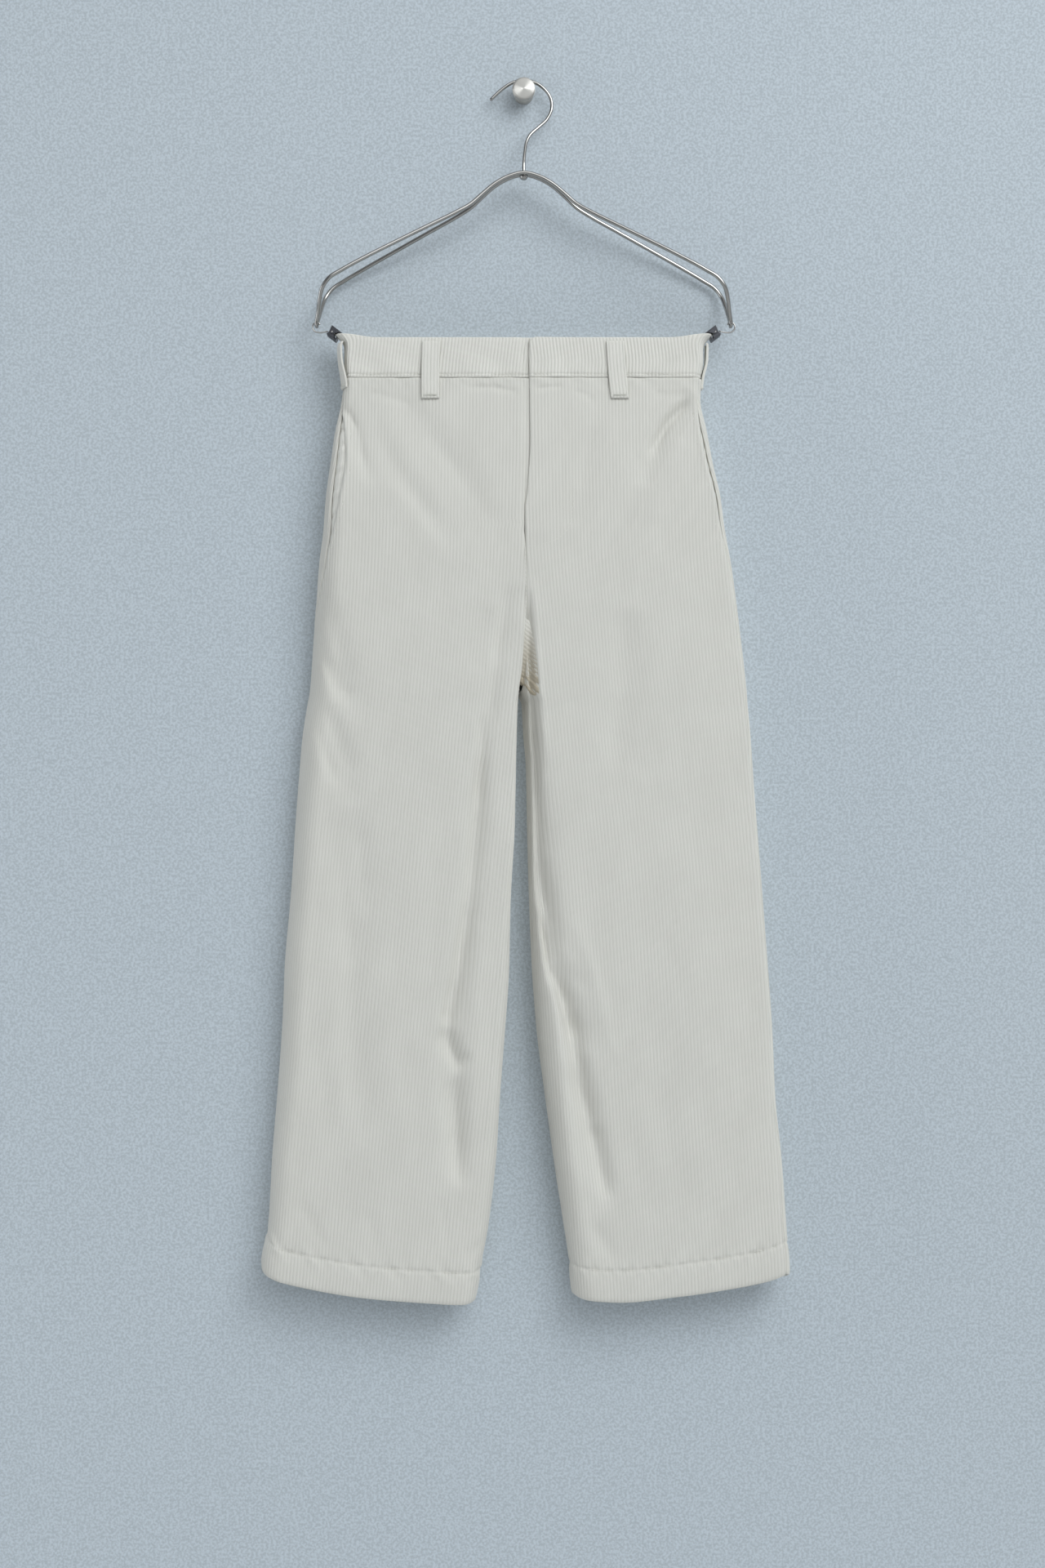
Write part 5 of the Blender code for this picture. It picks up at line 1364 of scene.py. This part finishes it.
COIL_WIRE = 1.1
PIN_RADIUS = 1.1 * MM
PIN_PROUD = 0.4
PIN_MIDDLE = 3
EASED_EDGE = 0.22 * MM
EASED_ANGLE = math.radians(35)
SHARP_METAL = math.radians(40)
# The domes that end a wire: the angles of their rings, how much of the wire they take, and their least size
DOME_ANGLES = np.radians((90, 68, 45, 22))
DOME_REACH = 1.05
DOME_TIP = 0.04
# Steps from point to point along a wire, and round a turned piece
WIRE_STEPS = 8
HOOK_STEPS = 10
RIVET_STEPS = 48
PEG_STEPS = 96


def rounded_ends(points, radius):
    """Points and their share of the radius, with both ends turned down to a dome."""
    points = np.array(points)
    sizes = np.ones(len(points))
    for _ in range(2):
        way = points[0] - points[1]
        way = way / np.linalg.norm(way)
        tip = points[0].copy()
        dome = tip - way * radius * (1 - np.sin(DOME_ANGLES))[:, None]
        keep = np.linalg.norm(points - tip, axis=1) > radius * DOME_REACH
        points = np.vstack([dome, points[keep]])[::-1]
        sizes = np.concatenate([np.maximum(np.cos(DOME_ANGLES), DOME_TIP), sizes[keep]])[::-1]
    return points, sizes


def wire(name, points, radius, material, *nodes, roundness=6):
    """A round wire along some points, with domed ends."""
    data = bpy.data.curves.new(name, "CURVE")
    data.dimensions = "3D"
    data.bevel_depth = radius
    data.bevel_resolution = roundness
    data.use_fill_caps = True
    points, sizes = rounded_ends(points, radius)
    line = data.splines.new("POLY")
    line.points.add(len(points) - 1)
    for target, point, size in zip(line.points, points, sizes):
        target.co = (*point, 1)
        target.radius = size
    line.use_smooth = True
    return link_piece(name, data, [material], "wire", *nodes)


def shaped(name, mesh, matrix, material, slot_name, *nodes):
    """A metal piece of a finished bmesh, placed by the matrix, with its faces turned out."""
    bmesh.ops.recalc_face_normals(mesh, faces=mesh.faces)
    data = bpy.data.meshes.new(name)
    mesh.to_mesh(data)
    mesh.free()
    data.transform(matrix)
    data.shade_smooth()
    data.set_sharp_from_angle(angle=SHARP_METAL)
    return link_piece(name, data, [material], slot_name, *nodes)


def turned_piece(name, profile, matrix, steps, material, slot_name, node):
    """A piece turned from a half section, which runs from the axis outwards and back to it."""
    mesh = bmesh.new()
    rings = []
    for r, z in profile:
        turns = [math.tau * n / steps for n in range(steps)] if r else [0.0]
        rings.append([mesh.verts.new((r * MM * math.cos(a), r * MM * math.sin(a), z * MM)) for a in turns])
    for a, b in zip(rings, rings[1:]):
        for n in range(steps):
            m = (n + 1) % steps
            corners = [a[n % len(a)], b[n % len(b)], b[m % len(b)], a[m % len(a)]]
            mesh.faces.new(list(dict.fromkeys(corners)))
    return shaped(name, mesh, matrix, material, slot_name, node)


def plates(name, outlines, matrix, material, slot_name, *nodes):
    """Flat plates cut from outlines, each with its reach across from one w to another, with eased edges."""
    mesh = bmesh.new()
    for outline, low, high in outlines:
        lower, upper = ([mesh.verts.new((x * MM, y * MM, w * MM)) for x, y in outline] for w in (low, high))
        mesh.faces.new(lower[::-1])
        mesh.faces.new(upper)
        for n in range(len(outline)):
            m = (n + 1) % len(outline)
            mesh.faces.new((lower[n], lower[m], upper[m], upper[n]))
    edge = shaped(name, mesh, matrix, material, slot_name, *nodes).modifiers.new("eased", "BEVEL")
    edge.width = EASED_EDGE
    edge.segments = 2
    edge.limit_method = "ANGLE"
    edge.angle_limit = EASED_ANGLE


def jaw_plates(jaw, half):
    """A jaw's plate, its two ears round the pin and its pressed ribs, each with its reach across."""
    low = half - jaw.ear_inset
    shapes = [(jaw.plate, -half, half), (jaw.ear, -low, -low + JAW_METAL), (jaw.ear, low - JAW_METAL, low)]
    for n in range(jaw.ribs):
        u = jaw.first_rib + RIB_STEP * n
        shapes.append(([(u + along, jaw.way * out) for along, out in RIB], -half + RIB_END, half - RIB_END))
    return shapes


def clip(side_name, side, metals):
    """A spring clip: two folded jaws with a bright leaf between them, the coiled spring on its pin, and the
    wire that joins it to the bow."""
    x, z = CLIP_PINCH
    c, s = math.cos(CLIP_SLOPE), math.sin(CLIP_SLOPE)
    matrix = Matrix(((-side * c, -side * s, 0, side * x), (0, 0, side, MID_DEPTH), (-s, c, 0, z), (0, 0, 0, 1)))
    tag = "clip_" + side_name
    half = CLIP_WIDTH / 2 / MM
    steel = metals["steel"]
    for name, jaw in JAWS.items():
        node = tag + "_" + name
        plates(node + "_plate", jaw_plates(jaw, half), matrix, metals["dark"], "clip_metal", node)
    leaf = LEAF + tuple((u, v - LEAF_METAL) for u, v in reversed(LEAF))
    plates(tag + "_leaf", [(leaf, -half + LEAF_END, half - LEAF_END)], matrix, steel, "wire")

    def placed(u, v, w):
        return tuple(matrix @ (Vector((u - SPRING_BACK / MM, v, w)) * MM))

    coil = []
    for k in range(COIL_TURNS * COIL_STEPS + 1):
        turn = math.tau * k / COIL_STEPS
        w = -COIL_WIDTH / 2 + COIL_WIDTH * k / (COIL_TURNS * COIL_STEPS)
        coil.append(placed(COIL_RADIUS * math.cos(turn), COIL_RADIUS * math.sin(turn), w))
    wire(tag + "_coil", coil, COIL_WIRE / 2 * MM, steel, tag + "_spring", roundness=3)
    pin = [placed(0, 0, w) for w in (-half - PIN_PROUD, -PIN_MIDDLE, PIN_MIDDLE, half + PIN_PROUD)]
    wire(tag + "_pin", pin, PIN_RADIUS, steel)
    link = smooth_path([(side * row.x * MM, MID_DEPTH, row.z * MM) for row in LINK], WIRE_STEPS)
    wire(tag + "_link_wire", link, LINK_WIRE / 2, steel, tag + "_link", roundness=4)


def hanger(metals):
    """The hook, the two wires of the bow, the rivet, both clips and the wall peg."""
    steel = metals["steel"]
    wire("hook_wire", smooth_path(HOOK, HOOK_STEPS) * MM, HOOK_WIRE / 2, steel, "hanger_hook", roundness=8)
    for name, way in (("bow_front", -1), ("bow_rear", 1)):
        half = [(row.x * MM, MID_DEPTH + way * row.spread * MM, row.z * MM) for row in BOW]
        other = [(-x, y, z) for x, y, z in half[:0:-1]]
        wire(name + "_wire", smooth_path(other + half, WIRE_STEPS), BOW_WIRE / 2, steel, name, roundness=8)
    place = Matrix.Translation((0, MID_DEPTH, RIVET_TOP))
    turned_piece("hook_rivet_head", RIVET_PROFILE, place, RIVET_STEPS, steel, "wire", "hook_rivet")
    for side_name, side in SIDES.items():
        clip(side_name, side, metals)
    place = Matrix.Rotation(math.radians(90), 4, "X")
    turned_piece("wall_peg_turned", PEG_PROFILE, place, PEG_STEPS, metals["peg"], "peg_metal", "wall_peg")


# Corduroy: its tones, how its pile's lie and its grooves blend them, and how the wales wander and are rounded
CORDUROY_LIGHT = (0.690, 0.674, 0.622)
CORDUROY_DARK = (0.664, 0.648, 0.597)
# The grooves' tone: the cloth's darker ground between the wales, darkened further with painted shade
CORDUROY_GROOVE_SHADE = (0.568, 0.553, 0.500)
LIE_RANGE = (0.35, 0.65)
GROOVE_SHADE = (0.1, 0.9, 0.0, 0.85)
WALE_WANDER = 0.16
CREST_ROUND = 0.55
CREST_SHARE = 0.7
TUFT_SHARE = 0.45
# Painted light: the band and the loops get a copy of the corduroy that is lighter by this gain
BAND_PAINTED_LIGHT = 1.06
# Painted light: the pocket's facing gets a copy of the corduroy that is lighter by this gain, against the shade
# in its mouth
FACING_PAINTED_LIGHT = 1.16
# Painted shade down the fork: the tone it is multiplied by towards the crotch, and the heights over which it
# darkens
FORK_SHADE_TONE = (0.73, 0.66, 0.555)
FORK_SHADE_FADE = (-0.512, -0.572)
# Woven cloths, with the count of their threads to a metre
Weave = namedtuple("Weave", "pale dark threads")
REVERSE = Weave((0.70, 0.69, 0.63), (0.60, 0.59, 0.53), 1400.0)
COTTON = Weave((0.66, 0.65, 0.59), (0.56, 0.55, 0.50), 2200.0)
TAPE = Weave((0.68, 0.67, 0.61), (0.56, 0.55, 0.50), 1800.0)
SEWING_THREAD = Weave((0.76, 0.75, 0.69), (0.66, 0.65, 0.59), 5200.0)
# Steels, with the scale and the detail of their spots, and the range of their polish
Steel = namedtuple("Steel", "roughness spots tones polish")
STEEL = Steel(0.16, (60.0, 4.0), ((0.36, 0.35, 0.335), (0.50, 0.49, 0.47)), (0.08, 0.15))
DARK_STEEL = Steel(0.35, (900.0, 3.0), ((0.035, 0.036, 0.04), (0.11, 0.11, 0.12)), (0.25, 0.45))
PEG_METAL = ((0.50, 0.485, 0.455), (0.64, 0.62, 0.58))
LATHE_STEP = 0.22 * MM
WALL_PALE = (0.522, 0.577, 0.620)
WALL_DARK = (0.420, 0.466, 0.499)
SPECKLE_RANGE = (0.4, 0.6)
FLOOR = (0.6, 0.6, 0.6)
# Noises: scale, detail, roughness and stretch
WANDER_NOISE = (0.9, 3.0, 0.6, (1, 0.35, 1))
TUFT_NOISE = (7.0, 3.0, 0.65, (1.6, 1.0, 1))
LIE_NOISE = (0.12, 4.0, 0.55, (1, 0.5, 1))
SLUB_NOISE = (260.0, 3.0, 0.6, (1, 1, 0.2))
SPECKLE_NOISE = (420.0, 2.0, 0.6)
# Bumps: strength and depth
PILE_BUMP = (0.5, 0.0006)
WEAVE_BUMP = (0.35, 0.0003)
SPECKLE_BUMP = (0.25, 0.0005)


class Wiring:
    """Short ways to add and join nodes of one tree."""

    def __init__(self, tree):
        self.nodes = tree.nodes
        self.links = tree.links

    def node(self, kind, *joins, **values):
        """A node with properties from values, whose inputs are joined or set in order."""
        made = self.nodes.new(kind)
        for name, value in values.items():
            setattr(made, name, value)
        for socket, source in joins:
            self.put(made.inputs[socket], source)
        return made

    def put(self, socket, source):
        """Joins an input to another node's output, or sets it to a value or a plain colour."""
        if isinstance(source, bpy.types.NodeSocket):
            self.links.new(source, socket)
        elif socket.type == "RGBA":
            socket.default_value = (*source, 1)
        else:
            socket.default_value = source

    def math(self, operation, *values):
        return self.node("ShaderNodeMath", *enumerate(values), operation=operation).outputs[0]

    def mix(self, factor, first, second, blend="MIX"):
        joins = (("Factor", factor), ("A", first), ("B", second))
        return self.node("ShaderNodeMix", *joins, data_type="RGBA", blend_type=blend).outputs["Result"]

    def blend(self, value, low, high, first=0.0, second=1.0):
        """Maps a value from one range into another, without passing its ends."""
        return self.node("ShaderNodeMapRange", *enumerate((value, low, high, first, second))).outputs[0]

    def place(self):
        return self.node("ShaderNodeTexCoord").outputs["Object"]

    def split(self, vector):
        return self.node("ShaderNodeSeparateXYZ", ("Vector", vector)).outputs

    def noise(self, place, scale, detail=2.0, roughness=0.5, stretch=(1, 1, 1)):
        spread = self.node("ShaderNodeMapping", ("Vector", place), ("Scale", stretch)).outputs[0]
        joins = (("Vector", spread), ("Scale", scale), ("Detail", detail), ("Roughness", roughness))
        return self.node("ShaderNodeTexNoise", *joins).outputs[0]

    def bump(self, shader, height, strength, distance):
        made = self.node("ShaderNodeBump", ("Strength", strength), ("Distance", distance), ("Height", height))
        self.put(shader.inputs["Normal"], made.outputs[0])


def new_group(name, given, given_value, results):
    """An empty group of nodes with one given number and some results: the group, its wiring, the given
    number's socket and the results' sockets."""
    group = bpy.data.node_groups.new(name, "ShaderNodeTree")
    group.interface.new_socket(given, in_out="INPUT", socket_type="NodeSocketFloat").default_value = given_value
    for label in results:
        group.interface.new_socket(label, in_out="OUTPUT", socket_type="NodeSocketFloat")
    given_node, result_node = group.nodes.new("NodeGroupInput"), group.nodes.new("NodeGroupOutput")
    return group, Wiring(group), given_node.outputs[0], result_node.inputs


def wale_group():
    """The ribs of corduroy: how deep in a groove a place lies, and the lie and the height of its pile."""
    group, w, pile_size, results = new_group("corduroy_wales", "Pile Size", 1.0, ("Groove", "Lie", "Height"))
    uv = w.node("ShaderNodeUVMap", uv_map="grain").outputs[0]
    across = w.split(uv)[0]
    wander = w.math("MULTIPLY", w.math("SUBTRACT", w.noise(uv, *WANDER_NOISE), 0.5), WALE_WANDER)
    u = w.math("ADD", across, wander)
    wave = w.math("ABSOLUTE", w.math("COSINE", w.math("MULTIPLY", u, math.pi)))
    crest = w.math("POWER", wave, CREST_ROUND)
    tufts = w.noise(uv, *TUFT_NOISE)
    height = w.math("ADD", w.math("MULTIPLY", crest, CREST_SHARE), w.math("MULTIPLY", tufts, TUFT_SHARE))
    w.put(results["Groove"], w.math("SUBTRACT", 1.0, crest))
    w.put(results["Lie"], w.noise(uv, *LIE_NOISE))
    w.put(results["Height"], w.math("MULTIPLY", height, pile_size))
    return group


def weave_group():
    """A plain weave with the given count of threads to a metre."""
    group, w, threads, results = new_group("plain_weave", "Threads", 1600.0, ("Thread", "Slub"))
    place = w.place()
    across, _, down = w.split(place)
    turn = w.math("MULTIPLY", threads, math.pi)
    waves = [w.math("SINE", w.math("MULTIPLY", along, turn)) for along in (across, down)]
    w.put(results["Thread"], w.math("ADD", w.math("MULTIPLY", w.math("MULTIPLY", *waves), 0.5), 0.5))
    w.put(results["Slub"], w.noise(place, *SLUB_NOISE))
    return group


def new_material(name, **values):
    """A material, its shader and its wiring. values are the shader's inputs, with _ for a space."""
    material = bpy.data.materials.new(name)
    material.use_nodes = True
    w = Wiring(material.node_tree)
    shader = w.nodes["Principled BSDF"]
    for label, value in values.items():
        w.put(shader.inputs[label.replace("_", " ")], value)
    return material, shader, w


def corduroy_material(groups, name="corduroy", painted_shade_below=None, painted_light_gain=1.0):
    """Fine corduroy, with painted shade in its grooves. A gain above 1 makes a lighter copy, as painted light.
    The
    cloth of the fork has painted shade: it grows darker and warmer downwards, into the recess between the
    legs, and its pile is worn flat."""
    material, shader, w = new_material(
        name, Roughness=0.95, Sheen_Weight=0.25, Sheen_Roughness=0.45, Specular_IOR_Level=0.15
    )
    groove, lie, height = w.node("ShaderNodeGroup", node_tree=groups["wales"]).outputs[:3]
    tones = [[painted_light_gain * part for part in tone] for tone in (CORDUROY_DARK, CORDUROY_LIGHT, CORDUROY_GROOVE_SHADE)]
    pile = w.mix(w.blend(lie, *LIE_RANGE), *tones[:2])
    # Painted shade: the grooves darken towards the groove tone, partly the cloth's ground and partly shade
    colour = w.mix(w.blend(groove, *GROOVE_SHADE), pile, tones[2])
    if painted_shade_below:
        # Painted shade: the fork's colour turns darker and warmer downwards, as the shade in the recess between
        # the legs
        height = w.split(w.place())[2]
        colour = w.mix(w.blend(height, *painted_shade_below), colour, w.mix(1.0, colour, FORK_SHADE_TONE, "MULTIPLY"))
    w.put(shader.inputs["Base Color"], colour)
    w.bump(shader, height, *PILE_BUMP)
    return material


def woven_material(name, groups, cloth):
    """Plain woven cotton, as on the cloth's reverse, the pocket bags and the tape."""
    material, shader, w = new_material(name, Roughness=0.9, Sheen_Weight=0.15, Specular_IOR_Level=0.2)
    weave = w.node("ShaderNodeGroup", ("Threads", cloth.threads), node_tree=groups["weave"])
    tone = w.math("MULTIPLY", w.math("ADD", *weave.outputs[:2]), 0.5)
    w.put(shader.inputs["Base Color"], w.mix(tone, cloth.dark, cloth.pale))
    w.bump(shader, tone, *WEAVE_BUMP)
    return material


def steel_material(name, steel):
    """Steel whose tone and polish change a little from place to place."""
    material, shader, w = new_material(name, Roughness=steel.roughness, Metallic=1.0)
    spot = w.noise(w.place(), *steel.spots, 0.6)
    w.put(shader.inputs["Base Color"], w.mix(spot, *steel.tones))
    w.put(shader.inputs["Roughness"], w.blend(spot, 0.3, 0.7, *steel.polish))
    return material


def peg_material():
    """Satin turned metal: fine rings from the lathe, which draw the light out across them."""
    material, shader, w = new_material(
        "turned_peg", Roughness=0.36, Metallic=1.0, Anisotropic=1.0, Anisotropic_Rotation=0.25
    )
    x, _, z = w.split(w.place())
    square = w.math("ADD", w.math("POWER", x, 2.0), w.math("POWER", z, 2.0))
    rings = w.math("SINE", w.math("MULTIPLY", w.math("SQRT", square), math.tau / LATHE_STEP))
    w.put(shader.inputs["Base Color"], w.mix(w.blend(rings, -1, 1), *PEG_METAL))
    w.put(shader.inputs["Tangent"], w.node("ShaderNodeTangent", direction_type="RADIAL", axis="Y").outputs[0])
    return material


def wall_material():
    """Finely speckled paint that casts no shadow and isn't seen from behind."""
    material, shader, w = new_material("wall_paint", Roughness=0.9)
    speckle = w.noise(w.place(), *SPECKLE_NOISE)
    w.put(shader.inputs["Base Color"], w.mix(w.blend(speckle, *SPECKLE_RANGE), WALL_DARK, WALL_PALE))
    w.bump(shader, speckle, *SPECKLE_BUMP)
    behind = w.node("ShaderNodeNewGeometry").outputs["Backfacing"]
    gone = w.math("MAXIMUM", behind, w.node("ShaderNodeLightPath").outputs["Is Shadow Ray"])
    clear = w.node("ShaderNodeBsdfTransparent").outputs[0]
    either = w.node("ShaderNodeMixShader", (0, gone), (1, shader.outputs[0]), (2, clear))
    w.put(w.nodes["Material Output"].inputs["Surface"], either.outputs[0])
    return material


# The room: its wall and floor, the lamps, and the ways, as unit vectors, to its pale half and to the soft box in
# it. A glow is how near to its way it begins and is full, and its light there and there.
WALL_PLACE = 0.0003
WALL_REACH = 3
WALL_TOP = 2
FLOOR_LEVEL = -1.5
FLOOR_REACH = 4
LIGHT_TINT = (0.93, 0.97, 1.0)
Lamp = namedtuple("Lamp", "name place target size power")
LAMPS = (
    Lamp("key", (1.4, -2.05, 1.15), (0, 0, -0.35), (1.7, 1.7), 34.5),
    Lamp("fill", (-2.2, -2.2, -0.2), (-0.1, 0, -0.5), (1.6, 2.2), 5.5),
    Lamp("side", (-2.7, -0.7, -0.4), (-0.1, 0, -0.7), (0.8, 2.0), 12),
    Lamp("rear", (0.9, 2.6, 0.4), (0, 0, -0.6), (1.6, 1.6), 42),
)
ROOM_LIGHT = (0.80, -0.30, 0.52)
ROOM_GLOW = (0.0, 0.35, 0.10, 0.42)
SOFT_BOX = (0.28, -0.82, 0.50)
SOFT_BOX_GLOW = (0.82, 0.92, 0.0, 1.3)
CAMERA_PLACE = (-0.0012, -2.109, -0.6669)


def stage_sheet(name, corners, material):
    data = bpy.data.meshes.new(name)
    data.from_pydata(corners, [], [(0, 1, 2, 3)])
    data.materials.append(material)
    add_object(name, data)


def stage_room():
    """The wall just behind the peg's back, and the floor."""
    low, x, y = FLOOR_LEVEL, WALL_REACH, WALL_PLACE
    corners = [(-x, y, low), (x, y, low), (x, y, WALL_TOP), (-x, y, WALL_TOP)]
    stage_sheet("wall", corners, wall_material())
    paint, _, _ = new_material("floor_paint", Roughness=0.8, Base_Color=FLOOR)
    x = y = FLOOR_REACH
    stage_sheet("floor", [(-x, -y, low), (x, -y, low), (x, y, low), (-x, y, low)], paint)


def light_room():
    """A large soft lamp at the upper right, two weaker ones at the left, one behind for the hidden side, and a
    room that is paler on the first lamp's side."""
    for lamp in LAMPS:
        data = bpy.data.lights.new(lamp.name, "AREA")
        data.shape = "RECTANGLE"
        data.size, data.size_y = lamp.size
        data.energy = lamp.power
        data.color = LIGHT_TINT
        obj = add_object(lamp.name, data)
        obj.location = lamp.place
        obj.rotation_euler = (Vector(lamp.target) - Vector(lamp.place)).to_track_quat("-Z", "Y").to_euler()
    world = bpy.data.worlds.new("studio")
    world.use_nodes = True
    w = Wiring(world.node_tree)
    way = w.node("ShaderNodeTexCoord").outputs["Generated"]
    half, patch = (
        w.node("ShaderNodeVectorMath", (0, way), (1, light), operation="DOT_PRODUCT").outputs["Value"]
        for light in (ROOM_LIGHT, SOFT_BOX)
    )
    backdrop = w.nodes["Background"]
    w.put(backdrop.inputs["Color"], LIGHT_TINT)
    sky = w.math("ADD", w.blend(half, *ROOM_GLOW), w.blend(patch, *SOFT_BOX_GLOW))
    w.put(backdrop.inputs["Strength"], sky)
    bpy.context.scene.world = world
    bpy.context.scene.view_settings.view_transform = "Standard"


def place_camera():
    data = bpy.data.cameras.new("camera")
    data.lens = 50
    data.sensor_width = 36
    camera = add_object("camera", data)
    camera.location = CAMERA_PLACE
    camera.rotation_euler = (math.radians(90), 0, 0)
    bpy.context.scene.camera = camera


# The cut of what shows of each sheet, in millimetres, and how much of that rectangle it fills
Cut = namedtuple("Cut", "width length fill")


def main():
    groups = {"wales": wale_group(), "weave": weave_group()}
    reverse = woven_material("corduroy_reverse", groups, REVERSE)
    cotton = woven_material("pocket_cotton", groups, COTTON)
    tape = woven_material("zip_tape_cloth", groups, TAPE)
    thread = woven_material("sewing_thread", groups, SEWING_THREAD)
    panel_cloth = (corduroy_material(groups), reverse, thread)
    band_cloth = (corduroy_material(groups, "corduroy_band_painted_light", painted_light_gain=BAND_PAINTED_LIGHT), reverse, thread)
    bag_cloth = (corduroy_material(groups, "corduroy_facing_painted_light", painted_light_gain=FACING_PAINTED_LIGHT), cotton)
    metals = {
        "steel": steel_material("polished_steel", STEEL),
        "dark": steel_material("dark_spring_steel", DARK_STEEL),
        "peg": peg_material(),
    }
    between = fork((corduroy_material(groups, "corduroy_fork_painted_shade", FORK_SHADE_FADE), reverse))
    for side_name in SIDES:
        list(waistband(side_name, band_cloth))
        for face_name, face in (("front_", FRONT), ("back_", BACK)):
            name = face_name + side_name
            obj, sewing = panel(side_name, face, panel_cloth)
        bag = pocket_bag(side_name, bag_cloth)
    for name, made in belt_loops(band_cloth):
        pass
    run = (FLY_START, FLY_START + ZIP_TAPE_WIDTH, ZIP_BOTTOM)
    piece = fly_sheet("zip", *run, ZIP_INSET, ZIP_THICKNESS, (tape, tape), "zip_tape")
    run = (SHIELD_START, SHIELD_REACH, SHIELD_BOTTOM)
    piece = fly_sheet("fly_shield", *run, SHIELD_INSET, SHIELD_THICKNESS, (reverse, reverse), "corduroy")
    hanger(metals)
    stage_room()
    light_room()
    place_camera()


main()
